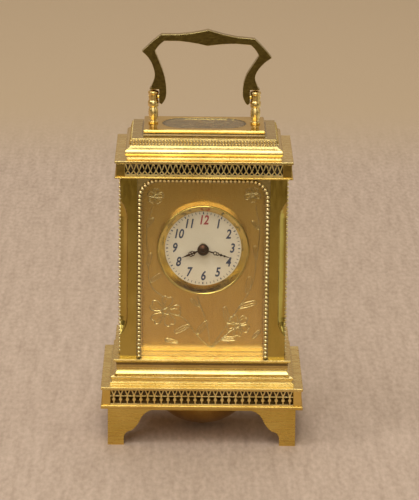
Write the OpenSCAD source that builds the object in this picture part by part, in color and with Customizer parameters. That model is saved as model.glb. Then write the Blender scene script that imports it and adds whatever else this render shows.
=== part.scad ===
// Miniature brass carriage clock with a pierced gallery under its cornice and another in its plinth.
// Millimetres. +Z is up, the dial faces -Y, and the origin is on the table under the middle of the case.
// Every tier of the case is given by how far it stands out beyond the four pillars, its overhang.

/* [Case body] */
// Width across the four pillars
body_w = 42; // [41:0.5:48]
// Depth across the four pillars
body_d = 28; // [27.5:0.5:34]
// Height of the glazed body, ledge to cornice
body_h = 47.4; // [46.5:0.2:54]
// Side of a square pillar
pillar_s = 4.2; // [4:0.1:5]
// Radius of the hollow chamfer on each pillar's outer corner
chamfer_r = 1.9; // [1:0.1:2.2]
// Plain length left at each end of the hollow chamfer
chamfer_stop = 6; // [5.6:0.2:10]
// Length over which the hollow chamfer tapers to a point
chamfer_taper = 4.6; // [3:0.2:7]

/* [Plinth] */
// Height of the bracket feet
foot_h = 10.2; // [9.8:0.1:12]
// Overhang of the bracket feet
foot_over = 3; // [1.6:0.1:3.4]
// Thickness of the foot aprons
foot_t = 1.4; // [1:0.1:2]
// Width of a foot's sole
sole_w = 4.1; // [3:0.1:5]
// Thickness of the bottom plate
plate_t = 0.9; // [0.6:0.1:1.2]
// Overhang of the bottom plate and the plinth slab
slab_over = 4.75; // [4.4:0.05:6]
// Height of the plinth gallery
base_gallery_h = 4.1; // [3.8:0.1:5]
// Number of balusters along the front of the plinth gallery
baluster_n = 27; // [21:2:27]
// Thickness of the plinth slab
slab_t = 0.7; // [0.5:0.1:1]
// Height of the mouldings between the plinth slab and the ledge
base_mould_h = 6; // [6:0.1:7]
// Overhang of the ledge that the pillars stand on
ledge_over = 1.6; // [1.4:0.05:1.8]
// Thickness of the ledge
ledge_t = 0.5; // [0.4:0.05:0.8]

/* [Cornice] */
// Overhang of the cornice frame and slab
cornice_over = 1.45; // [1.3:0.05:2]
// Height of the cornice gallery
cornice_gallery_h = 3.5; // [3.2:0.1:4.2]
// Number of crosses along the front of the cornice gallery
fret_n = 28; // [22:2:28]
// Thickness of the cornice slab
cornice_slab_t = 0.6; // [0.4:0.1:0.9]
// Height of the mouldings above the cornice slab
cornice_mould_h = 5.5; // [5.5:0.1:6.5]
// Thickness of the top plate
top_t = 1; // [0.8:0.1:1.2]
// Thickness of the pierced gallery panels
gallery_t = 0.6; // [0.4:0.05:0.8]

/* [Windows] */
// Diameter of the beads round the windows
bead_d = 0.98; // [0.7:0.02:1]
// Distance from bead to bead
bead_pitch = 1.04; // [1.02:0.01:1.3]
// Width of the strip that carries the beads
bead_strip_w = 1.3; // [1.1:0.05:1.5]
// Thickness of the glass panes
glass_t = 0.9; // [0.7:0.05:1.1]
// Radius of the arch corners at the window heads
arch_r = 4; // [2:0.2:5]

/* [Handle] */
// Distance of each handle post inside the side of the case
post_inset = 8; // [7.7:0.1:8.4]
// Height of the handle pivot above the top plate
pivot_h = 6.9; // [6.8:0.05:7.6]
// Thickness of the handle, front to back
handle_t = 2.4; // [1.8:0.1:2.6]
// Radius of the handle pins
handle_pin_r = 0.5; // [0.4:0.02:0.6]
// Radial running clearance of the handle on its pins
handle_fit = 0.05; // [0.03:0.01:0.08]

/* [Dial] */
// Distance of the dial centre below the top of the movement plates
dial_drop = 14.9; // [14.7:0.1:15.4]
// Radius of the visible dial
dial_r = 9.75; // [9.4:0.05:10.1]
// Width of the bezel ring
bezel_w = 2.05; // [1.8:0.05:2.3]
// How far the bezel stands out from the mask
bezel_rise = 2.6; // [2:0.1:2.9]
// Depth of the mask behind the front of the case
mask_set = 5.8; // [5.6:0.1:6]
// Length of the minute hand
minute_len = 7.8; // [6.5:0.1:8.6]
// Length of the hour hand
hour_len = 6; // [5:0.1:6.2]
// Place of the minute hand, degrees clockwise from twelve
minute_deg = 107; // [0:1:359]
// Place of the hour hand, degrees clockwise from twelve
hour_deg = 247; // [0:1:359]

/* [Movement] */
// Half width of the movement plates
frame_hw = 12; // [11.6:0.1:12.6]
// Distance of the top of the movement plates below the cornice
frame_drop = 4.8; // [4:0.1:7.4]
// Thickness of the movement plates
frame_t = 1; // [0.8:0.1:1.2]
// Inner distance between the movement plates
frame_gap = 9.6; // [9.4:0.1:10]
// Radial running clearance of the movement's pivots
pivot_fit = 0.04; // [0.02:0.01:0.06]
// Radius of the bell's curve
bell_r = 14.5; // [14:0.1:15]
// Height of the bell's lowest point above the table
bell_gap = 1.2; // [0.8:0.1:2]

/* [Hidden] */
$fn = 48;
eps = 0.01;
far = 200;

// Heights of the tiers, from the table up
z_plate = foot_h;
z_gallery = z_plate + plate_t;
z_slab = z_gallery + base_gallery_h;
z_mould = z_slab + slab_t;
z_ledge = z_mould + base_mould_h;
z_body = z_ledge + ledge_t;
z_cornice = z_body + body_h;
z_fret = z_cornice + 0.4;
z_cslab = z_fret + cornice_gallery_h;
z_cmould = z_cslab + cornice_slab_t;
z_top = z_cmould + cornice_mould_h;
z_roof = z_top + top_t;
z_platform = z_cornice - frame_drop;
frame_h = z_platform - z_body;
z_pivot = z_roof + pivot_h;
post_pitch = body_w - 2 * post_inset;

// Plan of the case: half width and half depth at an overhang
function hw(over) = body_w / 2 + over;
function hd(over) = body_d / 2 + over;

// Gallery panels stand a little inside the slabs, with square blocks at the corners
base_gallery_over = slab_over - 0.35;
base_block = 2.1;
core_over = 1.2;
fret_over = cornice_over - 0.35;
fret_block = 2.3;

// Long case screws, one up into each pillar
screw_x = hw(-pillar_s / 2);
screw_y = hd(-pillar_s / 2);
screw_r = 0.7;
screw_clear = 0.1;
screw_grip = 5;
head_h = 0.6;

// Cornice interior
frame_open_over = -6.2;
well_over = -4.9;
cavity_over = -7.6;
rebate_t = 0.5;
glass_margin = 0.4;
post_margin = 2.3;
top_glass_r = hd(cavity_over) - glass_margin;
top_glass_x = post_pitch / 2 - post_margin - top_glass_r;

// Depths, front to back
y_front = -body_d / 2;
y_mask = y_front + mask_set;
mask_t = 0.8;
dial_t = 0.7;
y_dial = y_mask - 0.2;
y_fplate = y_mask + 2.9;
y_gap0 = y_fplate + frame_t;
y_gap1 = y_gap0 + frame_gap;
y_back = y_gap1 + frame_t;

// Windows
window_w = 2 * hw(-pillar_s) - 2 * bead_strip_w;
glass_set = 1.3;
glass_lap = 0.5;
glass_clear = 0.05;

// Train: tooth counts and modules, arbor places in the dial plane
t_barrel = 60;
t_centre_pinion = 10;
m_barrel = 0.3;
t_centre = 64;
t_third_pinion = 8;
m_centre = 0.2;
t_third = 60;
t_fourth_pinion = 8;
m_third = 0.18;
t_contrate = 56;
t_escape_pinion = 8;
m_contrate = 0.18;
t_cannon = 12;
t_minute = 36;
t_minute_pinion = 10;
t_hour = 40;
m_motion = 0.2;
m_hour = m_motion * (t_cannon + t_minute) / (t_minute_pinion + t_hour);
function pitch_r(t, m) = t * m / 2;
function from(p, dist, deg) = [p[0] + dist * cos(deg), p[1] + dist * sin(deg)];
centre_at = [0, z_platform - dial_drop];
barrel_dir = -90;
third_dir = 145;
fourth_dir = 40;
motion_dir = -45;
barrel_at = from(centre_at, pitch_r(t_barrel, m_barrel) + pitch_r(t_centre_pinion, m_barrel), barrel_dir);
third_at = from(centre_at, pitch_r(t_centre, m_centre) + pitch_r(t_third_pinion, m_centre), third_dir);
fourth_at = from(third_at, pitch_r(t_third, m_third) + pitch_r(t_fourth_pinion, m_third), fourth_dir);
motion_at = from(centre_at, pitch_r(t_cannon, m_motion) + pitch_r(t_minute, m_motion), motion_dir);
pivot_r = 0.3;
arbor_r = 0.45;
wheel_t = 0.7;

// Layers of the train, measured from the inside of the front plate
y_centre_wheel = y_gap0 + 1;
y_contrate = y_gap0 + 2.5;
crown_root = 0.9;
y_crown = y_contrate + crown_root + 0.65;
y_third_wheel = y_gap0 + 5.3;
y_drum = y_gap0 + 2.5;
drum_l = 5.1;
y_great_wheel = y_drum + drum_l;
great_t = 1;
drum_r = pitch_r(t_barrel, m_barrel) - 0.8;

// Platform on top of the plates, with the escapement lying flat on it
platform_t = 0.9;
platform_hw = 9.2;
z_deck = z_platform + platform_t;
escape_at = [fourth_at[0], y_crown + pitch_r(t_escape_pinion, m_contrate)];
escape_r = 2.5;
escape_teeth = 15;
z_escape = z_deck + 0.4;
balance_gap = 5.9;
balance_at = [escape_at[0] + balance_gap, escape_at[1]];
lever_at = [escape_at[0] + 3.15, escape_at[1]];
balance_r = 4.4;
z_balance = z_deck + 1.6;
z_cock = z_deck + 3.2;
cock_t = 0.7;
hairspring_r = 1.9;

// Handle outline, right half: across from the middle, up from the pivot, and the rise of the arc to the
// next point. The lozenge of the grip is at the top, the shoulder stands over the post at the foot.
post_x = post_pitch / 2;
leg_out = post_x - 1.45;
leg_in = leg_out - 1.85;
grip_half = 7.4;
handle_half = [[0, 17.5, -0.15], [grip_half, 16, 0], [post_x - 1.2, 15.8, 0.15], [post_x + 3.4, 11.2, -0.6],
    [post_x - 0.24, 6, -0.43], [post_x + 1, 2.5, 0], [leg_out, 2.5, 0], [leg_out, -1.1, 0.2],
    [leg_out - 0.7, -1.8, 0.3], [leg_in, 1, 0.55], [post_x - 1.4, 8.3, 0], [post_x + 0.2, 11.5, -0.2],
    [post_x - 2.05, 14.25, 0], [grip_half, 14.4, -0.15], [0, 13.5, 0]];

// Foot bracket outline, from the inner corner of the sole: across, up, and the rise of the arc
bracket_rise = 9.4;
apron_h = 0.8;
bracket = [[0, 0, 0], [0, 1.9, 0.5], [1.8, 3.8, -0.3], [4.2, 6.9, 0.45], [7.2, bracket_rise, 0]];

// Rear door
door_t = 1.2;
door_gap = 0.4;
door_frame_w = 2.4;
door_lift = 0.3;
hinge_x = -(hw(-pillar_s) - door_gap - door_t / 2);
hinge_y = hd(0) - door_t / 2;
hinge_pin_r = 0.35;
hinge_pin_in = 1.2;
door_z0 = z_body + door_lift;
door_z1 = z_cornice - door_lift;
door_x1 = hw(-pillar_s) - 0.3;

// Hammer arbor, low between the movement plates
hammer_at = [7.2, z_body + 5];
hammer_x = 8.8;
hammer_z = z_plate - 1.9;
slot_hw = 0.9;
slot_back = 0.8;
slot_l = 2.5;

// Points along an arc from p to q that rises by s at its middle, to the left of the way from p to q
function arc(p, q, s, n = 6) = abs(s) < eps ? [p] :
    let (d = q - p, l = norm(d), u = d / l, left = [-u[1], u[0]], r = (l * l / 4 + s * s) / (2 * s),
        c = (p + q) / 2 + left * (s - r), a = asin(l / 2 / abs(r)))
    [for (i = [0:n - 1]) let (t = a * (2 * i / n - 1)) c + left * r * cos(t) + u * abs(r) * sin(t)];

// Closed outline from [across, up, rise] rows
function outline(rows) = [for (i = [0:len(rows) - 1]) let (a = rows[i], b = rows[(i + 1) % len(rows)])
    each arc([a[0], a[1]], [b[0], b[1]], a[2])];

// Upright profile drawn in (x, z), made solid from y0 to y1
module along_y(y0, y1) {
    translate([0, y1, 0]) rotate([90, 0, 0]) linear_extrude(y1 - y0) children();
}

// Box centred on the plan of the case at an overhang
module tier(over, z0, z1) {
    translate([-hw(over), -hd(over), z0]) cube([2 * hw(over), 2 * hd(over), z1 - z0]);
}

// A profile drawn once in (overhang, height), kept on one side and mirrored to the other
module both_ways(half) {
    for (side = [0, 1]) mirror([side, 0]) intersection() {
        translate([half, 0]) children();
        square([far, far]);
    }
}

// Moulding with mitred corners all round the case, from a profile in (overhang, height)
module mitred() {
    intersection() {
        translate([0, far / 2, 0]) rotate([90, 0, 0]) linear_extrude(far) both_ways(body_w / 2) children();
        translate([-far / 2, 0, 0]) rotate([90, 0, 90]) linear_extrude(far) both_ways(body_d / 2) children();
    }
}

// Part of a profile: everything inside an overhang, between two heights
module course(over, z0, z1) {
    translate([-far, z0]) square([far + over, z1 - z0]);
}

// Places on all four pillars
module at_pillars() {
    for (x = [-screw_x, screw_x], y = [-screw_y, screw_y]) translate([x, y, 0]) children();
}

module rod_y(at, r, y0, y1) {
    translate([at[0], y0, at[1]]) rotate([-90, 0, 0]) cylinder(r = r, h = y1 - y0);
}

// Feet: one casting of four aprons, cut away between the bracket feet
module bracket_cut(half) {
    x0 = half - sole_w;
    pts = [for (p = outline(bracket)) [x0 - p[0], p[1]]];
    keep = len(pts) - 1;
    right = [for (i = [0:keep]) pts[i]];
    left = [for (i = [keep:-1:0]) [-pts[i][0], pts[i][1]]];
    lift = foot_h - apron_h - bracket_rise;
    translate([0, lift]) polygon(concat(right, left));
    translate([-x0, -1]) square([2 * x0, lift + 1 + eps]);
}

module foot_frame() color("goldenrod") difference() {
    tier(foot_over, 0, foot_h);
    tier(foot_over - foot_t, -1, foot_h + 1);
    translate([0, far / 2, 0]) rotate([90, 0, 0]) linear_extrude(far) bracket_cut(hw(foot_over));
    translate([-far / 2, 0, 0]) rotate([90, 0, 90]) linear_extrude(far) bracket_cut(hd(foot_over));
}

// Clear way for the case screws, the bell screw, the movement screws and the hammer rod
module screw_ways(z0, z1) {
    translate([0, 0, z0]) {
        at_pillars() cylinder(r = screw_r + screw_clear, h = z1 - z0);
        for (s = [-1, 1]) translate([s * bar_screw_x, bar_y, 0])
            cylinder(r = screw_r + screw_clear, h = z1 - z0);
    }
}
module hammer_slot(z0, z1) {
    translate([hammer_x - slot_back, hammer_y - slot_hw, z0]) cube([slot_l, 2 * slot_hw, z1 - z0]);
}
bar_y = y_gap0 + 3;
bar_screw_x = 6;
hammer_y = y_gap0 + 6.8;

module base_plate() color("darkgoldenrod") difference() {
    tier(slab_over, z_plate, z_gallery);
    screw_ways(z_plate - 1, z_gallery + 1);
    hammer_slot(z_plate - 1, z_gallery + 1);
    translate([0, 0, z_plate - 1]) cylinder(r = bell_stem_r + screw_clear, h = plate_t + 2);
}

// Plinth gallery: a row of balusters between two rails, each with a knob and a forked head
module baluster(h) {
    bar = 0.32;
    knob_r = 0.42;
    knob_z = h * 0.32;
    fork_z = h * 0.68;
    fork_x = 0.56;
    arm = 0.24;
    translate([-bar / 2, 0]) square([bar, fork_z]);
    translate([0, knob_z]) circle(r = knob_r, $fn = 24);
    for (s = [-1, 1]) polygon([[-bar / 2 * s, fork_z - 0.2], [bar / 2 * s, fork_z - 0.3],
        [(fork_x + arm / 2) * s, h + eps], [(fork_x - arm / 2) * s, h + eps]]);
}
module baluster_row(length, count, h) {
    rail_low = 0.4;
    rail_top = 0.2;
    wire = 0.18;
    wire_place = 0.56;
    open_h = h - rail_low - rail_top;
    pitch = length / count;
    translate([-length / 2, 0]) square([length, rail_low]);
    translate([-length / 2, h - rail_top]) square([length, rail_top]);
    translate([-length / 2, rail_low + open_h * wire_place]) square([length, wire]);
    for (i = [0:count - 1]) translate([-length / 2 + (i + 0.5) * pitch, rail_low - eps])
        baluster(open_h + 2 * eps);
}
module base_gallery() color("gold") {
    fx = hw(base_gallery_over) - base_block;
    fy = hd(base_gallery_over) - base_block;
    side_n = round(baluster_n * fy / fx);
    for (s = [0, 1]) mirror([0, s, 0]) translate([0, 0, z_gallery])
        along_y(-hd(base_gallery_over), -hd(base_gallery_over) + gallery_t)
            baluster_row(2 * fx, baluster_n, base_gallery_h);
    for (s = [0, 1]) mirror([s, 0, 0]) rotate([0, 0, 90]) translate([0, 0, z_gallery])
        along_y(-hw(base_gallery_over), -hw(base_gallery_over) + gallery_t)
            baluster_row(2 * fy, side_n, base_gallery_h);
}
module base_corner_posts() color("darkgoldenrod")
    corner_blocks(base_gallery_over, base_block, z_gallery, z_slab);

module corner_blocks(over, side, z0, z1) {
    for (sx = [0, 1], sy = [0, 1]) mirror([sx, 0, 0]) mirror([0, sy, 0])
        translate([hw(over) - side, hd(over) - side, z0]) cube([side, side, z1 - z0]);
}

// Plinth casting: a plain core behind the gallery, the slab, the mouldings and the ledge
module base_profile() {
    hollow_r = 1.7;
    scotia_r = 0.7;
    course(core_over, z_gallery, z_slab);
    course(slab_over, z_slab, z_mould);
    course(slab_over - 2.25, z_mould, z_mould + 0.7);
    course(slab_over - 2.7, z_mould, z_mould + 1.6);
    course(slab_over - 2.45, z_mould + 1.6, z_mould + 2.15);
    difference() {
        course(slab_over - 2.45, z_mould + 2.15, z_mould + 2.15 + hollow_r);
        translate([slab_over - 2.35, z_mould + 2.15 + hollow_r]) circle(r = hollow_r);
    }
    difference() {
        course(ledge_over, z_mould + 2.15 + hollow_r, z_ledge);
        translate([ledge_over, z_ledge - scotia_r]) circle(r = scotia_r);
        translate([ledge_over - scotia_r, z_mould + 2]) square([2, z_ledge - scotia_r - z_mould - 2]);
    }
    course(ledge_over, z_ledge, z_body);
}
module base_moulding() color("goldenrod") difference() {
    mitred() base_profile();
    screw_ways(z_gallery - 1, z_body + 1);
    hammer_slot(z_gallery - 1, z_body + 1);
    translate([0, 0, z_gallery - 1]) cylinder(r = bell_stem_r + stem_fit, h = bell_grip + 1);
    translate([hinge_x, hinge_y, z_body - hinge_pin_in]) cylinder(r = hinge_pin_r + push_fit, h = 5);
}

// Pillars: square, with a hollow chamfer that tapers to a point, and a groove for each pane
taper_steps = 4;
function taper_r(t) = let (big = (chamfer_taper ^ 2 + chamfer_r ^ 2) / (2 * chamfer_r))
    t > 1 - eps ? 0 : sqrt(big ^ 2 - (t * chamfer_taper) ^ 2) - big + chamfer_r;
module hollow_chamfer(half) {
    straight = half - chamfer_taper;
    translate([0, 0, -eps]) cylinder(r = chamfer_r, h = straight + eps);
    step = chamfer_taper / taper_steps;
    for (i = [0:taper_steps - 1]) translate([0, 0, straight + i * step])
        cylinder(r1 = taper_r(i / taper_steps), r2 = taper_r((i + 1) / taper_steps), h = step);
}
module pillar(sx, sy) color("darkgoldenrod") {
    corner = [hw(0), hd(0)];
    mirror([sx, 0, 0]) mirror([0, sy, 0]) difference() {
        translate([corner[0] - pillar_s, corner[1] - pillar_s, z_body]) cube([pillar_s, pillar_s, body_h]);
        translate([corner[0], corner[1], z_body + body_h / 2]) for (s = [0, 1]) mirror([0, 0, s])
            hollow_chamfer(body_h / 2 - chamfer_stop);
        translate([hw(-glass_set - glass_t) - glass_clear, 0, z_body - 1])
            cube([glass_t + 2 * glass_clear, hd(-pillar_s + glass_lap) + glass_clear, body_h + 2]);
        if (sy == 1) translate([0, hd(-glass_set - glass_t) - glass_clear, z_body - 1])
            cube([hw(-pillar_s + glass_lap) + glass_clear, glass_t + 2 * glass_clear, body_h + 2]);
        translate([screw_x, screw_y, z_body - 1]) cylinder(r = screw_r, h = screw_grip + 1);
        translate([screw_x, screw_y, z_cornice - 3]) cylinder(r = screw_r, h = 4);
    }
}

// A window frame: a thin strip with a round-cornered head, beaded along its middle
module window_strip(w, h, strip) {
    difference() {
        translate([-w / 2 - strip, 0]) square([w + 2 * strip, h]);
        translate([-w / 2, -1]) square([w, h - strip - arch_r + 1]);
        translate([-w / 2 + arch_r, 0]) square([w - 2 * arch_r, h - strip]);
        for (s = [-1, 1]) translate([s * (w / 2 - arch_r), h - strip - arch_r]) circle(r = arch_r);
    }
}
module window_beads(w, h, strip) {
    off = strip / 2;
    side = h - strip - arch_r;
    run = w - 2 * arch_r;
    bend = 90 * (arch_r + off) * PI / 180;
    n_side = floor(side / bead_pitch);
    n_top = floor(run / bead_pitch);
    n_bend = floor(bend / bead_pitch);
    for (s = [-1, 1]) {
        for (i = [0:n_side - 1]) translate([s * (w / 2 + off), (i + 0.5) * side / n_side]) children();
        for (i = [0:n_bend - 1]) let (a = (i + 0.5) * 90 / n_bend, r = arch_r + off)
            translate([s * (w / 2 - arch_r + r * cos(a)), side + r * sin(a)]) children();
    }
    for (i = [0:n_top - 1]) translate([-run / 2 + (i + 0.5) * run / n_top, h - off]) children();
}
module window_frame(w, h, face) {
    translate([0, face, 0]) {
        along_y(strip_set, glass_set - 0.1) window_strip(w, h, bead_strip_w);
        rotate([90, 0, 0]) window_beads(w, h, bead_strip_w)
            translate([0, 0, bead_out]) sphere(d = bead_d, $fn = 16);
    }
}
frame_low = 0.05;
bead_out = 0.1;
strip_set = 0.15;
window_h = body_h - 2 * frame_low;
module front_bead_frame() color("gold") translate([0, 0, z_body + frame_low])
    window_frame(2 * (hw(-pillar_s) - bead_strip_w), window_h, y_front);
module side_bead_frame(s) color("gold")
    mirror([s, 0, 0]) rotate([0, 0, 90]) translate([0, 0, z_body + frame_low])
        window_frame(2 * (hd(-pillar_s) - bead_strip_w), window_h, -hw(0));

// Panes with ground bevels, held in the grooves of the pillars
module pane(half_w, h, y0) {
    bevel = 1.6;
    y1 = y0 + glass_t;
    ye = y1 - 0.55 * glass_t;
    intersection() {
        linear_extrude(h) polygon([[-half_w, y1], [half_w, y1], [half_w, ye],
            [half_w - bevel, y0], [-half_w + bevel, y0], [-half_w, ye]]);
        translate([-far / 2, 0, 0]) rotate([90, 0, 90]) linear_extrude(far)
            polygon([[y1, 0], [y1, h], [ye, h], [y0, h - bevel], [y0, bevel], [ye, 0]]);
    }
}
module front_glass() color("lightcyan", 0.3) translate([0, 0, z_body + frame_low])
    pane(hw(-pillar_s + glass_lap), window_h, y_front + glass_set);
module side_glass(s) color("lightcyan", 0.3)
    mirror([s, 0, 0]) rotate([0, 0, 90]) translate([0, 0, z_body + frame_low])
        pane(hd(-pillar_s + glass_lap), window_h, -hw(0) + glass_set);

// Cornice: frame on the pillars, pierced gallery with corner blocks, hollow moulding, top plate
cornice_frame_t = 1;
module cornice_frame() color("goldenrod") difference() {
    union() {
        tier(cornice_over, z_cornice, z_fret);
        tier(fret_over - gallery_t - 0.1, z_fret - eps, z_cornice + cornice_frame_t);
    }
    tier(frame_open_over, z_cornice - 1, z_cslab);
    translate([0, 0, z_cornice - 1]) at_pillars() cylinder(r = screw_r + screw_clear, h = 4);
    corner_blocks(fret_over + 0.05, fret_block + 0.1, z_fret, z_cslab);
    translate([hinge_x, hinge_y, z_cornice - 1])
        cylinder(r = hinge_pin_r + push_fit, h = 1 + hinge_pin_in - door_lift);
}
module crossing(pitch, h) {
    bar = 0.22;
    cross_z = h * 0.32;
    for (s = [-1, 1]) {
        polygon([[s * -(pitch / 2 + bar / 2), 0], [s * -(pitch / 2 - bar), 0], [s * bar / 2, cross_z],
            [s * -bar / 2, cross_z + bar / 2]]);
        polygon([[s * -bar / 2, cross_z - bar / 2], [s * bar / 2, cross_z - bar / 4],
            [s * (pitch / 2 + bar / 3), h], [s * (pitch / 2 - bar), h]]);
    }
    translate([0, cross_z]) circle(r = bar * 0.8, $fn = 8);
}
module fret_row(length, count, h) {
    rail_low = 0.65;
    rail_top = 0.2;
    open_h = h - rail_low - rail_top;
    pitch = length / count;
    translate([-length / 2, 0]) square([length, rail_low]);
    translate([-length / 2, h - rail_top]) square([length, rail_top]);
    intersection() {
        translate([-length / 2, 0]) square([length, h]);
        for (i = [0:count - 1]) translate([-length / 2 + (i + 0.5) * pitch, rail_low - eps])
            crossing(pitch, open_h + 2 * eps);
    }
}
module cornice_gallery() color("gold") {
    fx = hw(fret_over) - fret_block;
    fy = hd(fret_over) - fret_block;
    side_n = round(fret_n * fy / fx);
    for (s = [0, 1]) mirror([0, s, 0]) translate([0, 0, z_fret])
        along_y(-hd(fret_over), -hd(fret_over) + gallery_t) fret_row(2 * fx, fret_n, cornice_gallery_h);
    for (s = [0, 1]) mirror([s, 0, 0]) rotate([0, 0, 90]) translate([0, 0, z_fret])
        along_y(-hw(fret_over), -hw(fret_over) + gallery_t) fret_row(2 * fy, side_n, cornice_gallery_h);
}
module cornice_corner_posts() color("darkgoldenrod") corner_blocks(fret_over, fret_block, z_fret, z_cslab);

// The well wall stands on the cornice frame inside the gallery. Above the slab come a roll, a leaning band
// for the leaf ornament, a narrow shelf and a cove. Each course starts inside the ones below it.
top_over = -5.6;
band_low = [-2.2, 2.7];
band_high = [-2.8, 4.65];
module cornice_profile() {
    roll_r = 1.2;
    roll_over = -2.3;
    fillet = 0.3;
    shelf_t = 0.3;
    cove_z = z_cmould + band_high[1] + shelf_t;
    cove_r = z_top - cove_z;
    course(well_over, z_cornice + cornice_frame_t, z_cmould);
    course(cornice_over, z_cslab, z_cmould);
    course(roll_over + 0.8, z_cslab, z_cmould + fillet);
    course(roll_over, z_cslab, z_cmould + fillet + roll_r);
    translate([roll_over, z_cmould + fillet + roll_r]) circle(r = roll_r);
    translate([0, z_cmould]) polygon([[-far, 0], [roll_over, 0], band_low, band_high, [-far, band_high[1]]]);
    course(band_high[0], z_cmould + band_low[1], cove_z);
    difference() {
        course(top_over + cove_r, z_cslab, z_top);
        translate([top_over + cove_r, z_top]) circle(r = cove_r);
    }
}
module cornice_moulding() color("goldenrod") difference() {
    mitred() cornice_profile();
    tier(cavity_over, z_cornice, z_top + 1);
    for (s = [-1, 1]) translate([s * post_x, 0, z_top - post_stem_l - stem_gap])
        cylinder(r = post_stem_r + stem_fit, h = 10);
}

// Top plate with a bullnose edge and a round-ended glazed opening
module round_ended(x, r) {
    translate([-x, -r]) square([2 * x, 2 * r]);
    for (s = [-1, 1]) translate([s * x, 0]) circle(r = r);
}
module top_plate() color("goldenrod") difference() {
    mitred() {
        course(top_over - top_t / 2, z_top, z_roof);
        translate([top_over - top_t / 2, z_top + top_t / 2]) circle(d = top_t);
    }
    translate([0, 0, z_top - 1]) linear_extrude(5) round_ended(top_glass_x, top_glass_r - rebate_t);
    translate([0, 0, z_roof - rebate_t]) linear_extrude(5) round_ended(top_glass_x, top_glass_r);
    for (s = [-1, 1]) translate([s * post_x, 0, z_top - 1]) cylinder(r = post_stem_r + stem_fit, h = 5);
}
module top_glass() color("lightcyan", 0.3) translate([0, 0, z_roof - rebate_t])
    linear_extrude(rebate_t - 0.02) round_ended(top_glass_x, top_glass_r - glass_clear);

// Handle posts: turned balusters on a flange, each with a threaded stem through the top plate. The vase
// swells by the arc of vase_curve, and the head is a collar, a waist that holds the pin, and a rim.
post_stem_r = 0.6;
post_stem_l = 1.6;
stem_fit = 0.02;
stem_gap = 0.05;
push_fit = 0.01;
flange_r = 1.15;
flange_t = 0.6;
vase_r = 1;
vase_z = 2.5;
vase_l = 3;
vase_curve = 3.5;
head_r = 1.17;
waist_r = 1.05;
collar_l = 1.5;
collar_drop = 2.55;
rim_l = 0.75;
rim_lift = 0.6;
module handle_post(s) color("gold") translate([s * post_x, 0, z_roof]) difference() {
    union() {
        translate([0, 0, -post_stem_l - top_t]) cylinder(r = post_stem_r, h = post_stem_l + top_t + 0.2);
        cylinder(r = flange_r, h = flange_t);
        cylinder(r = vase_r * 0.64, h = pivot_h - collar_drop + eps);
        rotate_extrude() intersection() {
            translate([vase_r - vase_curve, vase_z]) circle(r = vase_curve);
            translate([0, vase_z - vase_l / 2]) square([vase_r, vase_l]);
        }
        translate([0, 0, pivot_h - collar_drop]) cylinder(r = head_r, h = collar_l);
        translate([0, 0, pivot_h - collar_drop]) cylinder(r = waist_r, h = collar_drop + rim_lift + eps);
        translate([0, 0, pivot_h + rim_lift]) cylinder(r = head_r, h = rim_l);
        translate([0, 0, pivot_h + rim_lift + rim_l]) cylinder(r1 = waist_r, r2 = waist_r / 2, h = 0.4);
    }
    translate([-5, 0, pivot_h]) rotate([0, 90, 0]) cylinder(r = handle_pin_r, h = 10);
}
module handle_pins() color("gold") for (s = [0, 1]) mirror([s, 0, 0])
    translate([leg_in + 0.3, 0, z_pivot]) rotate([0, 90, 0])
        cylinder(r = handle_pin_r, h = post_x + head_r - leg_in - 0.3);

// Handle: one flat bail with a lozenge grip, out-curved shoulders and legs inside the posts
module handle() color("darkkhaki") translate([0, 0, z_pivot]) difference() {
    right = outline(handle_half);
    left = [for (i = [len(right) - 1:-1:0]) if (right[i][0] > eps) [-right[i][0], right[i][1]]];
    along_y(-handle_t / 2, handle_t / 2) polygon(concat(right, left));
    for (s = [0, 1]) mirror([s, 0, 0]) translate([leg_in - 1, 0, 0]) rotate([0, 90, 0])
        cylinder(r = handle_pin_r + handle_fit, h = leg_out - leg_in + 3);
}

// Rear door: glazed frame with a rounded hinge edge
module rear_door() color("goldenrod") difference() {
    union() {
        translate([hinge_x, hinge_y - door_t / 2, door_z0])
            cube([door_x1 - hinge_x, door_t, door_z1 - door_z0]);
        translate([hinge_x, hinge_y, door_z0]) cylinder(d = door_t, h = door_z1 - door_z0);
    }
    translate([hinge_x + door_frame_w, hinge_y - door_t, door_z0 + door_frame_w])
        cube([door_x1 - hinge_x - 2 * door_frame_w, 2 * door_t, door_z1 - door_z0 - 2 * door_frame_w]);
    translate([hinge_x + door_frame_w - rebate_t, hinge_y - door_t, door_z0 + door_frame_w - rebate_t])
        cube([door_x1 - hinge_x - 2 * door_frame_w + 2 * rebate_t, door_t * 1.2,
            door_z1 - door_z0 - 2 * door_frame_w + 2 * rebate_t]);
    translate([hinge_x, hinge_y, door_z0 - 1]) cylinder(r = hinge_pin_r + pivot_fit, h = 1 + hinge_pin_in);
    translate([hinge_x, hinge_y, door_z1 - hinge_pin_in]) cylinder(r = hinge_pin_r + pivot_fit, h = 5);
    translate([knob_x, hinge_y - door_t, knob_z]) rotate([-90, 0, 0]) cylinder(r = knob_stem_r, h = 3);
}
knob_stem_r = 0.4;
knob_x = door_x1 - door_frame_w / 2;
knob_z = z_body + body_h / 2;
module door_glass() color("lightcyan", 0.3) {
    lap = rebate_t - glass_clear;
    translate([hinge_x + door_frame_w - lap, hinge_y - door_t / 2 + 0.02, door_z0 + door_frame_w - lap])
        cube([door_x1 - hinge_x - 2 * door_frame_w + 2 * lap, door_t * 0.7 - 0.04,
            door_z1 - door_z0 - 2 * door_frame_w + 2 * lap]);
}
module door_knob() color("gold") translate([knob_x, hinge_y, knob_z]) rotate([-90, 0, 0]) {
    translate([0, 0, -door_t / 2]) cylinder(r = knob_stem_r, h = door_t + 0.5);
    translate([0, 0, door_t / 2]) cylinder(r1 = 0.9, r2 = 0.5, h = 0.4);
    translate([0, 0, door_t / 2 + 1.2]) sphere(r = 0.9);
}
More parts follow.
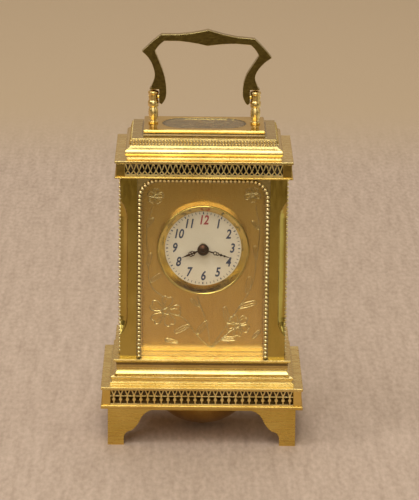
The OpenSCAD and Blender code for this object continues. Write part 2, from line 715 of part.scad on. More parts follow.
module door_hinge_pins() color("gold") translate([hinge_x, hinge_y, 0]) {
    pin_l = door_lift + 2 * hinge_pin_in;
    translate([0, 0, z_body - hinge_pin_in]) cylinder(r = hinge_pin_r, h = pin_l - 0.1);
    translate([0, 0, door_z1 - hinge_pin_in + 0.1]) cylinder(r = hinge_pin_r, h = pin_l - 0.5);
}

// Dial group: mask plate, bezel, enamel dial, hands
module mask_way() {
    translate([centre_at[0], centre_at[1]]) circle(r = dial_r + 0.55);
}
module dial_mask() color("peru") along_y(y_mask, y_mask + mask_t) difference() {
    translate([-hw(-pillar_s + 1), z_body]) square([2 * hw(-pillar_s + 1), body_h - 0.3]);
    mask_way();
}
// The bezel is a deep ring whose inside slopes down to the dial like a dish, under a rolled lip
module dial_bezel() color("gold") translate([centre_at[0], y_mask, centre_at[1]]) rotate([90, 0, 0])
    rotate_extrude() difference() {
        lip_r = 0.32;
        outer = dial_r + bezel_w;
        union() {
            polygon([[dial_r, 0], [outer, 0], [outer, bezel_rise - lip_r],
                [outer - 2 * lip_r, bezel_rise - lip_r], [dial_r, 0.45]]);
            translate([outer - lip_r, bezel_rise - lip_r]) circle(r = lip_r);
        }
        translate([dial_r - 1, -1]) square([1.5, 1.25]);
    }
module dial() color("ivory") difference() {
    rod_y(centre_at, dial_r + 0.45, y_dial, y_dial + dial_t);
    rod_y(centre_at, 1.3, y_dial - 1, y_dial + 3);
    rod_y(centre_at, dial_r + 2, y_dial - 5, y_dial - eps);
}
hour_y = y_dial - 0.75;
minute_y = y_dial - 1.25;
hand_t = 0.22;
pipe_r = 0.62;
hour_bore = 0.72;
hour_pipe_r = 1.0;

// Pierced hands, drawn pointing up from the centre
module hour_shape() {
    difference() {
        union() {
            circle(r = 1.25);
            translate([-0.2, 0.9]) square([0.4, 1.5]);
            for (a = [45:90:315]) translate([0.4 * cos(a), 3.2 + 0.4 * sin(a)]) circle(r = 0.42, $fn = 24);
            translate([0, 2.45]) circle(r = 0.38, $fn = 24);
            polygon([[0, 3.3], [0.28, 3.8], [0, hour_len], [-0.28, 3.8]]);
        }
        for (a = [45:90:315]) translate([0.45 * cos(a), 3.2 + 0.45 * sin(a)]) circle(r = 0.2, $fn = 16);
    }
}
module minute_shape() {
    difference() {
        union() {
            circle(r = 1.1);
            translate([-0.17, 0.8]) square([0.34, 2]);
            translate([0, 3.2]) circle(r = 0.52, $fn = 24);
            translate([0, 3.85]) circle(r = 0.44, $fn = 24);
            translate([0, 4.75]) circle(r = 0.32, $fn = 24);
            translate([-0.14, 4.2]) square([0.28, 1.6]);
            translate([0, 5.7]) circle(r = 0.27, $fn = 24);
            polygon([[0.15, 5.6], [0, minute_len], [-0.15, 5.6]]);
        }
        translate([0, 3.2]) circle(r = 0.3, $fn = 16);
        translate([0, 3.85]) circle(r = 0.22, $fn = 16);
    }
}
module hand(deg, y, bore) difference() {
    translate([centre_at[0], 0, centre_at[1]]) rotate([0, deg, 0]) along_y(y - hand_t, y) children();
    rod_y(centre_at, bore, y - 3, y + 3);
}
module hour_hand() color("saddlebrown") hand(hour_deg, hour_y, hour_pipe_r) hour_shape();
module minute_hand() color("saddlebrown") hand(minute_deg, minute_y, pipe_r) minute_shape();
module hand_cap() color("saddlebrown") translate([centre_at[0], minute_y - hand_t, centre_at[1]])
    rotate([90, 0, 0]) difference() {
        union() {
            cylinder(r = 1.5, h = 0.3);
            translate([0, 0, 0.3]) intersection() {
                translate([0, 0, -1.2]) sphere(r = 1.9);
                cylinder(r = 1.5, h = 1);
            }
        }
        translate([0, 0, 0.75]) cylinder(r = 0.55, h = 1);
        translate([0, 0, -1]) cylinder(r = arbor_front_r, h = 1.5);
    }
arbor_front_r = 0.4;

// Gear outline: teeth with sloping flanks and a narrow tip. Heights are in modules, widths in teeth.
module gear2d(t, m, phase = 0, root = 1.25, tip = 0.95, wide = 0.56, mid = 0.42, top = 0.16) {
    pr = pitch_r(t, m);
    step = 360 / t;
    tooth = [[-wide / 2, -root], [-mid / 2, 0], [-top / 2, tip],
        [top / 2, tip], [mid / 2, 0], [wide / 2, -root]];
    polygon([for (i = [0:t - 1]) let (a = phase + i * step)
        each [for (k = tooth) (pr + k[1] * m) * [cos(a + k[0] * step), sin(a + k[0] * step)]]]);
}
module wheel2d(t, m, phase = 0) gear2d(t, m, phase, tip = 0.75);
module pinion2d(t, m, phase = 0)
    gear2d(t, m, phase, root = 1.2, tip = 0.6, wide = 0.4, mid = 0.38, top = 0.14);
function half_tooth(t) = 180 / t;

// Crossed-out wheel: rim, arms and hub
module crossings(rim_r, hub_r, arms, arm_w) {
    half = 180 / arms;
    for (i = [0:arms - 1]) rotate(2 * i * half) difference() {
        intersection() {
            circle(r = rim_r);
            rotate(half) polygon([[0, 0], 2 * rim_r * [cos(half), -sin(half)],
                2 * rim_r * [cos(half), sin(half)]]);
        }
        circle(r = hub_r);
        translate([0, -arm_w / 2]) square([2 * rim_r, arm_w]);
        rotate(2 * half) translate([0, -arm_w / 2]) square([2 * rim_r, arm_w]);
    }
}
module at_arbor(at) translate([at[0], 0, at[1]]) children();

module cross_wheel(at, t, m, phase, y, th = wheel_t) {
    pr = pitch_r(t, m);
    at_arbor(at) along_y(y, y + th) difference() {
        wheel2d(t, m, phase);
        crossings(pr - 1.25 * m - 0.7, 1.3, 5, 0.6);
    }
}
// Arbor with a thin pivot through each plate
module pivoted_arbor(at, r = arbor_r) {
    rod_y(at, r, y_gap0 + 0.15, y_gap1 - 0.15);
    rod_y(at, pivot_r, y_fplate + 0.1, y_back - 0.1);
}

module centre_wheel() color("khaki") difference() {
    union() {
        cross_wheel(centre_at, t_centre, m_centre, third_dir, y_centre_wheel);
        at_arbor(centre_at) along_y(y_great_wheel - 0.2, y_great_wheel + great_t + 0.2)
            pinion2d(t_centre_pinion, m_barrel, barrel_dir + half_tooth(t_centre_pinion));
        rod_y(centre_at, 0.8, y_gap0 + 0.15, y_gap1 - 0.15);
        rod_y(centre_at, centre_pivot_r, y_gap0 + 0.1, y_back - 0.1);
    }
    rod_y(centre_at, set_r + pivot_fit, y_gap0 - 1, y_back + 1);
}
set_r = 0.36;
centre_pivot_r = 0.66;
module third_wheel() color("khaki") {
    cross_wheel(third_at, t_third, m_third, fourth_dir, y_third_wheel);
    at_arbor(third_at) along_y(y_centre_wheel - 0.3, y_centre_wheel + wheel_t + 0.3)
        pinion2d(t_third_pinion, m_centre, third_dir + 180 + half_tooth(t_third_pinion));
    pivoted_arbor(third_at, 0.4);
}
// Contrate wheel: the teeth stand up from the rim, towards the back, and drive the upright escape pinion
module contrate_wheel() color("khaki") {
    pr = pitch_r(t_contrate, m_contrate);
    step = PI * m_contrate;
    rim = 0.6;
    reach = y_crown - y_contrate - crown_root;
    tooth = [[-0.28, -0.05], [-0.2, 0.65], [-0.07, 0.83], [0.07, 0.83], [0.2, 0.65], [0.28, -0.05]];
    at_arbor(fourth_at) {
        along_y(y_contrate, y_contrate + 0.5) difference() {
            circle(r = pr + rim / 2);
            crossings(pr - rim / 2 - 0.4, 1.1, 4, 0.6);
        }
        along_y(y_contrate + 0.4, y_contrate + crown_root) difference() {
            circle(r = pr + rim / 2);
            circle(r = pr - rim / 2);
        }
        for (i = [0:t_contrate - 1]) rotate([0, i * 360 / t_contrate, 0]) translate([0, 0, pr - rim / 2])
            linear_extrude(rim * 0.98)
                polygon([for (k = tooth) [k[0] * step, y_contrate + crown_root + k[1] * reach / 0.65]]);
    }
    at_arbor(fourth_at) along_y(y_third_wheel - 0.3, y_third_wheel + wheel_t + 0.3)
        pinion2d(t_fourth_pinion, m_third, fourth_dir + 180 + half_tooth(t_fourth_pinion));
    pivoted_arbor(fourth_at, 0.36);
}
module cannon_pinion() color("khaki") difference() {
    union() {
        at_arbor(centre_at) along_y(motion_y0, motion_y0 + 0.6) pinion2d(t_cannon, m_motion, motion_dir);
        rod_y(centre_at, pipe_r, minute_y, motion_y0 + 0.6);
        rod_y(centre_at, pipe_r, minute_y - hand_t, minute_y + eps);
    }
    rod_y(centre_at, arbor_front_r, minute_y - 3, motion_y0 + 2);
}
motion_y0 = y_fplate - 0.9;
hour_gear_y = motion_y0 - 0.9;
module minute_wheel() color("khaki") difference() {
    union() {
        at_arbor(motion_at) along_y(motion_y0, motion_y0 + 0.5)
            wheel2d(t_minute, m_motion, motion_dir + 180 + half_tooth(t_minute));
        at_arbor(motion_at) along_y(hour_gear_y - 0.05, motion_y0 + eps)
            pinion2d(t_minute_pinion, m_hour, motion_dir + 180 + half_tooth(t_minute_pinion));
    }
    rod_y(motion_at, pivot_r + pivot_fit, hour_gear_y - 1, y_fplate);
}
module hour_wheel() color("khaki") difference() {
    union() {
        at_arbor(centre_at) along_y(hour_gear_y, hour_gear_y + 0.5) wheel2d(t_hour, m_hour, motion_dir);
        rod_y(centre_at, hour_pipe_r, hour_y - hand_t, hour_gear_y + 0.5);
    }
    rod_y(centre_at, hour_bore, hour_y - 3, hour_gear_y + 2);
}
// Hand-setting arbor: runs through the hollow centre arbor, with a square at the back for the key
square_s = 1.1;
module set_arbor() color("lightsteelblue") {
    rod_y(centre_at, arbor_front_r, minute_y - hand_t - 0.4, y_fplate - 0.05);
    rod_y(centre_at, set_r, y_fplate - 0.1, y_back + 0.6);
    translate([centre_at[0] - square_s / 2, y_back + 0.3, centre_at[1] - square_s / 2])
        cube([square_s, 2.2, square_s]);
}

// Mainspring barrel with the great wheel as its back, on the winding arbor
module barrel() color("khaki") difference() {
    union() {
        rod_y(barrel_at, drum_r, y_drum, y_great_wheel + eps);
        at_arbor(barrel_at) along_y(y_great_wheel, y_great_wheel + great_t)
            wheel2d(t_barrel, m_barrel, barrel_dir + 180);
    }
    rod_y(barrel_at, drum_r - 0.7, y_drum + 0.6, y_great_wheel - 0.1);
    rod_y(barrel_at, winding_r + pivot_fit, y_drum - 1, y_great_wheel + 3);
}
winding_r = 0.9;
ratchet_r = 3.2;
ratchet_teeth = 18;
ratchet_y = y_back + 0.15;
module winding_arbor() color("lightsteelblue") {
    rod_y(barrel_at, winding_r, y_gap0 + 0.15, y_gap1 - 0.15);
    rod_y(barrel_at, 0.6, y_fplate + 0.1, ratchet_y + 0.8);
    rod_y(barrel_at, 2.4, y_drum + 0.9, y_great_wheel - 0.4);
    at_arbor(barrel_at) along_y(ratchet_y, ratchet_y + 0.5)
        polygon([for (i = [0:ratchet_teeth - 1]) let (a = i * 360 / ratchet_teeth)
            each [(ratchet_r - 0.45) * [cos(a), sin(a)], ratchet_r * [cos(a + 2), sin(a + 2)]]]);
    side = 1.4 * square_s;
    translate([barrel_at[0] - side / 2, ratchet_y + 0.5, barrel_at[1] - side / 2]) cube([side, 2.4, side]);
}
click_at = [barrel_at[0] + 4.9, barrel_at[1] - 2.2];
module click() color("lightsteelblue") {
    rod_y(click_at, 0.45, y_gap1 + 0.2, ratchet_y + 0.7);
    at_arbor(click_at) along_y(ratchet_y, ratchet_y + 0.45) {
        circle(r = 0.8);
        polygon([[-0.7, 0.2], [-1.1, 1.5], [-1.65, 1.85], [-0.6, 1.75], [0.5, 0.4]]);
    }
}

// Movement frame
pillar_x = frame_hw - 1.6;
pillar_z = [z_body + 3.2, z_platform - 2];
module at_frame_corners() for (x = [-pillar_x, pillar_x], z = pillar_z) at_arbor([x, z]) children();
module frame_blank(y0) along_y(y0, y0 + frame_t)
    translate([-frame_hw, z_body]) square([2 * frame_hw, frame_h]);
module front_plate() color("khaki") {
    difference() {
        frame_blank(y_fplate);
        at_frame_corners() rod_y([0, 0], frame_spigot_r + 0.02, y_fplate - 1, y_gap0 + 1);
        for (p = [third_at, fourth_at]) rod_y(p, pivot_r + pivot_fit, y_fplate - 1, y_gap0 + 1);
        rod_y(hammer_at, pivot_r + pivot_fit, y_fplate - 1, y_gap0 + 1);
        rod_y(centre_at, 0.45 + pivot_fit, y_fplate - 1, y_gap0 + 1);
        rod_y(barrel_at, 0.6 + pivot_fit, y_fplate - 1, y_gap0 + 1);
    }
    rod_y(motion_at, pivot_r, hour_gear_y - 0.3, y_fplate + eps);
}
frame_spigot_r = 0.6;
module back_plate() color("khaki") difference() {
    frame_blank(y_gap1);
    at_frame_corners() rod_y([0, 0], frame_spigot_r + 0.02, y_gap1 - 1, y_back + 1);
    for (p = [third_at, fourth_at]) rod_y(p, pivot_r + pivot_fit, y_gap1 - 1, y_back + 1);
    rod_y(hammer_at, pivot_r + pivot_fit, y_gap1 - 1, y_back + 1);
    rod_y(centre_at, centre_pivot_r + pivot_fit, y_gap1 - 1, y_back + 1);
    rod_y(barrel_at, 0.6 + pivot_fit, y_gap1 - 1, y_back + 1);
    rod_y(click_at, 0.45 + 0.02, y_gap1 - 1, y_back + 1);
}
module movement_pillars() color("gold") at_frame_corners() {
    rod_y([0, 0], 0.95, y_gap0, y_gap1);
    rod_y([0, 0], frame_spigot_r, y_fplate, y_gap1 + frame_t);
    rod_y([0, 0], 1.0, y_back, y_back + 0.45);
}
bar_h = 2.2;
module movement_bar() color("khaki") difference() {
    translate([-frame_hw + 3, y_gap0, z_body]) cube([2 * frame_hw - 6, frame_gap, bar_h]);
    for (s = [-1, 1]) translate([s * bar_screw_x, bar_y, z_body - 1]) cylinder(r = screw_r, h = bar_h + 0.7);
    hammer_slot(z_body - 1, z_body + bar_h + 1);
}
module screw(z_top_end) {
    translate([0, 0, z_plate - head_h]) difference() {
        cylinder(r = 1.3, h = head_h);
        translate([-2, -0.15, -1]) cube([4, 0.3, 1.25]);
    }
    translate([0, 0, z_plate - eps]) cylinder(r = screw_r, h = z_top_end - z_plate);
}
module case_screws() color("gold") {
    at_pillars() screw(z_body + screw_grip - 0.3);
    translate([0, 0, z_cornice + cornice_frame_t]) at_pillars() {
        translate([0, 0, -3 - cornice_frame_t + 0.3]) cylinder(r = screw_r, h = 3 + cornice_frame_t);
        difference() {
            cylinder(r = 1.2, h = 0.5);
            translate([-2, -0.15, 0.25]) cube([4, 0.3, 1]);
        }
    }
}
module movement_screws() color("gold")
    for (s = [-1, 1]) translate([s * bar_screw_x, bar_y, 0]) screw(z_body + bar_h - 0.7);

// Platform escapement
potence_z = fourth_at[1] + pitch_r(t_contrate, m_contrate) - 2.2;
fine_r = 0.18;
staff_r = 0.2;
module on_deck(at, z) translate([at[0], at[1], z]) children();
module platform() color("khaki") difference() {
    union() {
        translate([-platform_hw, y_fplate, z_platform]) cube([2 * platform_hw, y_back - y_fplate, platform_t]);
        on_deck(escape_at, potence_z) translate([-1, 1.1, 0]) cube([2, 0.7, z_platform - potence_z + eps]);
        on_deck(escape_at, potence_z) translate([-0.6, -0.6, 0]) cube([1.2, 2.2, 0.6]);
    }
    on_deck(escape_at, potence_z - 1) cylinder(r = fine_r + pivot_fit, h = 3);
    on_deck(escape_at, z_platform - 1) cylinder(r = 0.62, h = platform_t + 2);
    on_deck(balance_at, z_platform - 1) cylinder(r = staff_r + pivot_fit, h = platform_t + 2);
    on_deck(lever_at, z_platform - 1) cylinder(r = fine_r + pivot_fit, h = platform_t + 2);
    cock_feet(z_platform - 1, 4, 0.42);
}
module cock_feet(z, h, r) {
    for (p = [[balance_at[0] + 0.4, balance_at[1] + 4.75], [escape_at[0] - 3.8, escape_at[1]]])
        translate([p[0], p[1], z]) cylinder(r = r, h = h);
}
module escape_wheel() color("khaki") on_deck(escape_at, 0) {
    translate([0, 0, z_escape]) linear_extrude(0.35) difference() {
        polygon([for (i = [0:escape_teeth - 1]) let (a = i * 360 / escape_teeth)
            each [for (k = [[0, -0.65], [5, 0], [8, 0]]) (escape_r + k[1]) * [cos(a + k[0]), sin(a + k[0])]]]);
        crossings(escape_r - 1.05, 0.55, 4, 0.3);
    }
    translate([0, 0, potence_z + 0.65]) cylinder(r = 0.32, h = z_escape - potence_z - 0.3);
    translate([0, 0, potence_z + 0.1]) cylinder(r = fine_r, h = z_escape + 1.35 - potence_z);
    translate([0, 0, fourth_at[1] + pitch_r(t_contrate, m_contrate) - 0.75]) linear_extrude(1.5)
        pinion2d(t_escape_pinion, m_contrate, -90 + half_tooth(t_escape_pinion));
}
module pallet_lever() color("lightsteelblue") on_deck(lever_at, 0) {
    translate([0, 0, z_escape]) linear_extrude(0.3) {
        circle(r = 0.5);
        translate([0, -0.15]) square([1.9, 0.3]);
        for (s = [-1, 1]) {
            polygon([[0.1, 0], [-0.2, 1.55 * s], [-0.62, 1.95 * s], [-0.75, 1.75 * s],
                [-0.45, 1.3 * s], [-0.3, 0]]);
            translate([1.75, s * 0.28]) square([0.55, 0.16], center = true);
        }
        translate([1.5, -0.36]) square([0.2, 0.72]);
    }
    translate([0, 0, z_platform + 0.1]) cylinder(r = fine_r, h = z_deck + 1.1 - z_platform);
}
module balance_wheel() color("khaki") on_deck(balance_at, 0) {
    translate([0, 0, z_balance]) linear_extrude(0.45) {
        difference() {
            circle(r = balance_r);
            circle(r = balance_r - 0.45);
        }
        circle(r = 0.7);
        for (a = [0:120:240]) rotate(a) translate([0, -0.2]) square([balance_r - 0.2, 0.4]);
    }
    translate([0, 0, z_deck + 0.9]) cylinder(r = 0.4, h = z_balance - z_deck + 0.35);
    translate([0, 0, z_platform + 0.1]) cylinder(r = staff_r, h = z_cock + 0.5 - z_platform);
}
// Flat spiral hairspring round the balance staff
module balance_spring() color("steelblue") on_deck(balance_at, z_balance + 0.75) {
    turns = 4;
    steps = 20;
    blade = 0.09;
    r_in = 0.5;
    n = turns * steps;
    grow = (hairspring_r - r_in) / n;
    spiral = [for (i = [0:n]) let (a = i * 360 / steps) (r_in + grow * i) * [cos(a), sin(a)]];
    inner = [for (i = [n:-1:0]) let (p = spiral[i]) p * (1 - blade / norm(p))];
    linear_extrude(0.2) polygon(concat(spiral, inner));
    translate([hairspring_r - 0.05, 0, 0]) cylinder(r = 0.14, h = z_cock - z_balance - 0.75 + eps);
}
module platform_cocks() color("gold") {
    difference() {
        union() {
            on_deck(balance_at, z_cock) linear_extrude(cock_t) {
                circle(r = 1.1);
                translate([-0.8, 0]) square([2.4, 5.6]);
                translate([hairspring_r, 0]) circle(r = 0.5);
            }
            on_deck(balance_at, z_deck) translate([-0.8, balance_r + 0.2, 0])
                cube([2.4, 1, z_cock - z_deck + eps]);
        }
        on_deck(balance_at, z_cock - 1) cylinder(r = staff_r + pivot_fit, h = 5);
    }
    difference() {
        union() {
            on_deck(escape_at, z_escape + 1) linear_extrude(0.55) {
                circle(r = 0.6);
                translate([-4.5, -0.6]) square([4.5, 1.2]);
            }
            on_deck(escape_at, z_deck) translate([-4.5, -0.6, 0])
                cube([1.6, 1.2, z_escape + 1 - z_deck + eps]);
        }
        on_deck(escape_at, z_escape - 1) cylinder(r = fine_r + pivot_fit, h = 5);
    }
    cock_feet(z_platform + 0.1, platform_t, 0.4);
}

// Bell under the plinth, on a stem, with the hammer inside it
bell_t = 0.6;
bell_rim_gap = 0.35;
bell_stem_r = 0.7;
bell_grip = 2.5;
bell_z = bell_gap + bell_r;
module bell() color("goldenrod") difference() {
    intersection() {
        translate([0, 0, bell_z]) sphere(r = bell_r, $fn = 96);
        cylinder(r = bell_r + 1, h = z_plate - bell_rim_gap);
    }
    translate([0, 0, bell_z]) sphere(r = bell_r - bell_t, $fn = 96);
    cylinder(r = 0.45, h = bell_gap + 3);
}
module bell_screw() color("gold") {
    z_seat = bell_gap + bell_t + 0.1;
    translate([0, 0, z_seat]) cylinder(r = bell_stem_r, h = z_gallery + bell_grip - 0.2 - z_seat);
    translate([0, 0, bell_gap - 0.15]) cylinder(r = 0.43, h = bell_t + 0.5);
    translate([0, 0, bell_gap - 0.5]) cylinder(r = 1.1, h = 0.45);
}
module hammer() color("lightsteelblue") {
    rod_y(hammer_at, 0.5, y_gap0 + 0.15, y_gap1 - 0.15);
    rod_y(hammer_at, pivot_r, y_fplate + 0.1, y_back - 0.1);
    rod_r = 0.35;
    translate([hammer_at[0], hammer_y - rod_r, hammer_at[1] - rod_r])
        cube([hammer_x - hammer_at[0] + rod_r, 2 * rod_r, 2 * rod_r]);
    translate([hammer_x, hammer_y, hammer_z]) cylinder(r = rod_r, h = hammer_at[1] - hammer_z);
    translate([hammer_x - 0.9, hammer_y, hammer_z]) rotate([0, 90, 0]) cylinder(r = 0.8, h = 2);
}

foot_frame();
base_plate();
base_gallery();
base_corner_posts();
base_moulding();
pillar(1, 1);  // pillar_front_left
pillar(0, 1);  // pillar_front_right
pillar(1, 0);  // pillar_rear_left
pillar(0, 0);  // pillar_rear_right
front_bead_frame();
side_bead_frame(1);  // left_bead_frame
side_bead_frame(0);  // right_bead_frame
front_glass();
side_glass(1);  // left_glass
side_glass(0);  // right_glass
cornice_frame();
cornice_gallery();
cornice_corner_posts();
cornice_moulding();
top_plate();
top_glass();
handle_post(-1);  // handle_post_left
handle_post(1);  // handle_post_right
handle_pins();
handle();
rear_door();
door_glass();
door_knob();
door_hinge_pins();
dial_mask();
dial_bezel();
dial();
hour_hand();
minute_hand();
hand_cap();
front_plate();
back_plate();
movement_pillars();
movement_bar();
case_screws();
movement_screws();
barrel();
winding_arbor();
click();
set_arbor();
centre_wheel();
third_wheel();
contrate_wheel();
cannon_pinion();
minute_wheel();
hour_wheel();
platform();
escape_wheel();
pallet_lever();
balance_wheel();
balance_spring();
platform_cocks();
bell();
bell_screw();
hammer();
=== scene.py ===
# %% [markdown]
# # A miniature brass carriage clock
# The solids of the clock, its case, hands and wheels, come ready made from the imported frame, in metres.
# This lesson dresses them: it gives each one the finish of the real metal, glass or enamel, and models
# the fine ornament that is too small for the solids, such as the dial's figures and the engraving.

# %% Load the frame
import math

import bpy
from mathutils import Matrix, Vector


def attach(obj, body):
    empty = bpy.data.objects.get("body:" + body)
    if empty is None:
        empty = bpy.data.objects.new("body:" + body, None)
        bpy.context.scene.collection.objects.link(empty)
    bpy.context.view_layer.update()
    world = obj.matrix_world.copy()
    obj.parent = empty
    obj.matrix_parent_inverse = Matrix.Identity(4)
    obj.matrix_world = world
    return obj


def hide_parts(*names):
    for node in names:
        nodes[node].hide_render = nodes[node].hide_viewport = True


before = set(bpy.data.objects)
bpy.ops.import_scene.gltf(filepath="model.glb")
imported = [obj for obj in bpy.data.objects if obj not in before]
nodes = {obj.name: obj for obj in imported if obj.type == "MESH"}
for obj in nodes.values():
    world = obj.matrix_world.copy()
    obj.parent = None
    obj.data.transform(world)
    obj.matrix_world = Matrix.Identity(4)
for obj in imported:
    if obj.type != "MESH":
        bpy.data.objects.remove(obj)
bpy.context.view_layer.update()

print("solids in the frame:", len(nodes))

# %% [markdown]
# ## Millimetres
# All sizes on the clock are known in millimetres, and Blender counts in metres, so one helper turns them.

# %% A helper for sizes
def mm(*values):
    """Millimetres to metres: one value gives a number, several give a tuple."""
    out = tuple(v / 1000 for v in values)
    return out[0] if len(out) == 1 else out


print("10 mm is", mm(10), "m")

# %% [markdown]
# ## The camera
# The photograph was taken from a little above and almost straight in front, with a long lens from about
# three quarters of a metre. Those values were found by fitting the clock's own edges to the picture, so
# the camera is placed by them and needs no shift. It sits back along its line of sight from the point
# that it looks at, near the middle of the clock.

# %% Place the camera
PITCH, YAW, ROLL = math.radians(15.045), math.radians(0.367), math.radians(0.6)
LOOKS_AT = Vector(mm(1.68, 0, 47.326))
DISTANCE = mm(757.36)
FOCAL_LENGTH, SENSOR_WIDTH = 211.4, 36

forward = Vector((math.sin(YAW) * math.cos(PITCH), math.cos(YAW) * math.cos(PITCH), -math.sin(PITCH)))
level_right = Vector((math.cos(YAW), -math.sin(YAW), 0))
level_up = level_right.cross(forward)
right = level_right * math.cos(ROLL) + level_up * math.sin(ROLL)
up = level_up * math.cos(ROLL) - level_right * math.sin(ROLL)

camera_data = bpy.data.cameras.new("camera")
camera_data.lens = FOCAL_LENGTH
camera_data.sensor_width = SENSOR_WIDTH
camera_data.clip_start, camera_data.clip_end = 0.05, 20  # metres
camera = bpy.data.objects.new("camera", camera_data)
bpy.context.scene.collection.objects.link(camera)
turned_to_view = Matrix((right, up, -forward)).transposed().to_4x4()
camera.matrix_world = Matrix.Translation(LOOKS_AT - forward * DISTANCE) @ turned_to_view
bpy.context.scene.camera = camera
bpy.context.scene.view_settings.view_transform = "Standard"
print("camera stands at", [round(v, 3) for v in camera.location])

# %% [markdown]
# ## Colours and nodes
# Colours are easier to choose as the hex values of a paint program, which are sRGB, while Cycles wants linear
# light, so one helper turns them. A second one adds one shader node with its settings and links. A third
# answers a question that many finishes ask: how much of a zone, such as a tarnished band, is left here? The
# last starts a finish, as a material with nothing but its output.

# %% Helpers for colours and nodes
def colour(hexa):
    """An sRGB hex colour as linear red, green, blue and a full alpha."""
    parts = [int(hexa[i:i + 2], 16) / 255 for i in (0, 2, 4)]
    return tuple(p / 12.92 if p <= 0.04045 else ((p + 0.055) / 1.055) ** 2.4 for p in parts) + (1.0,)


def add(tree, kind, links=None, stops=(), **settings):
    """Adds one node. A setting goes to the input of that name, or else to the node itself. Links join sockets
    to inputs, by name or number, and stops are the (place, hex colour) pairs of a colour ramp."""
    node = tree.nodes.new("ShaderNode" + kind)
    for name, value in settings.items():
        if name.replace("_", " ") in node.inputs:
            node.inputs[name.replace("_", " ")].default_value = value
        else:
            setattr(node, name, value)
    for name, socket in (links or {}).items():
        tree.links.new(socket, node.inputs[name])
    if stops:
        band = node.color_ramp.elements
        while len(band) < len(stops):
            band.new(0.5)
        for element, (place, hexa) in zip(band, stops):
            element.position, element.color = place, colour(hexa)
    return node


def zone(tree, *fades):
    """Soft fades, multiplied: the share of a zone that is left at a point. Each fade is a socket with the two
    values between which it fades, and then the two ends of the fade, if they aren't 0 and 1."""
    share = None
    for socket, start, end, *ends in fades:
        first, last = ends or (0.0, 1.0)
        fade = add(tree, "MapRange", {"Value": socket}, interpolation_type="SMOOTHSTEP",
                   From_Min=start, From_Max=end, To_Min=first, To_Max=last).outputs["Result"]
        if share is not None:
            fade = add(tree, "Math", {0: share, 1: fade}, operation="MULTIPLY").outputs["Value"]
        share = fade
    return share


def new_finish(name):
    """An empty node material; returns it with its tree and its output."""
    finish = bpy.data.materials.new(name)
    finish.use_nodes = True
    tree = finish.node_tree
    tree.nodes.clear()
    return finish, tree, add(tree, "OutputMaterial")


print("mid grey is", round(colour("808080")[0], 3), "in linear light")

# %% [markdown]
# ## The cloth
# The clock stands on a pale woven cloth, with a tan wall far behind it. One wide flat sheet does for both:
# its colour changes softly from cloth to wall along a line across the sheet, and grows browner towards the
# viewer: painted shade on the near cloth, and darker still past its edge. That matters, because brass is a
# mirror: an upright brass face seen from a little above shows the table in front of it, so the tone of the
# table is the tone of the pillars. A pale runner lies to the right, out of the picture, for the clock's
# right-hand corners to mirror.

# %% Lay the cloth
CLOTH_SIZE = 8.0  # metres
# Marks per metre across, along and through the cloth. The slubs are about 1.1 by 3.3 mm, and the ribs, which
# run away from the viewer, about 2.4 by 25 mm. Single threads would be too fine to show.
SLUBS = (900, 300, 1)
RIBS = (420, 40, 1)
# Where the sheet changes tone: the axis, the metres from and to which it fades, and the new tone.
FLOOR_ZONES = (
    ("X", 0.085, 0.12, "DEDECC"),    # the pale runner on the right
    # The near cloth's browner tone is painted shade.
    ("Y", -0.09, -0.24, "8F7C5C"),   # the cloth in the viewer's own shade
    ("Y", -0.238, -0.28, "54462F"),  # the dark table past the cloth
    ("Y", 0.27, 0.40, "C4AA88"),     # the wall
)


def deselect():
    """Leaves nothing selected and no piece in edit mode."""
    if bpy.context.object and bpy.context.object.mode != "OBJECT":
        bpy.ops.object.mode_set(mode="OBJECT")
    bpy.ops.object.select_all(action="DESELECT")


deselect()
bpy.ops.mesh.primitive_plane_add(size=CLOTH_SIZE, location=(0, 0, 0))
table_cloth = bpy.context.object
table_cloth.name = "table_cloth"

# Woven linen and cotton: matt and soft, with slubs and ribs in two close tones and a faint relief.
cloth_finish, tree, output = new_finish("pale_table_cloth")
place = add(tree, "TexCoord").outputs["Object"]
axes = add(tree, "SeparateXYZ", {"Vector": place})
slub_axes = add(tree, "Mapping", {"Vector": place}, Scale=SLUBS)
slubs = add(tree, "TexNoise", {"Vector": slub_axes.outputs["Vector"]}, Scale=1.0, Detail=3.0)
rib_axes = add(tree, "Mapping", {"Vector": place}, Scale=RIBS)
ribs = add(tree, "TexNoise", {"Vector": rib_axes.outputs["Vector"]}, Scale=1.0, Detail=2.0)
slub_tone = add(tree, "ValToRGB", {"Fac": slubs.outputs["Fac"]}, [(0.3, "AE967F"), (0.7, "D2B9A1")])
rib_tone = add(tree, "ValToRGB", {"Fac": ribs.outputs["Fac"]}, [(0.3, "B39B85"), (0.7, "CFB69F")])
woven = add(tree, "MixRGB", {"Color1": slub_tone.outputs["Color"], "Color2": rib_tone.outputs["Color"]}, Fac=0.5)
tone = woven.outputs["Color"]
for axis, start, end, shade in FLOOR_ZONES:
    share = zone(tree, (axes.outputs[axis], start, end))
    tone = add(tree, "MixRGB", {"Fac": share, "Color1": tone}, Color2=colour(shade)).outputs["Color"]
weave_bump = add(tree, "Bump", {"Height": slubs.outputs["Fac"]}, Strength=0.25, Distance=mm(0.3))
cloth_shader = add(tree, "BsdfPrincipled", {"Base Color": tone, "Normal": weave_bump.outputs["Normal"]},
                   Roughness=0.9, Specular_IOR_Level=0.2)
tree.links.new(cloth_shader.outputs["BSDF"], output.inputs["Surface"])
table_cloth.data.materials.append(cloth_finish)
print("cloth laid,", CLOTH_SIZE, "m square, with", len(FLOOR_ZONES), "changes of tone")

# %% [markdown]
# ## Lamps
# What polished brass looks like is mostly what stands round it. A tall soft window in front lays the long pale
# streaks along the mouldings, a smaller lamp on the left throws the shadow to the right, and a calm tan room
# fills the rest. All are white or nearly so, because the yellow has to come from the metal.

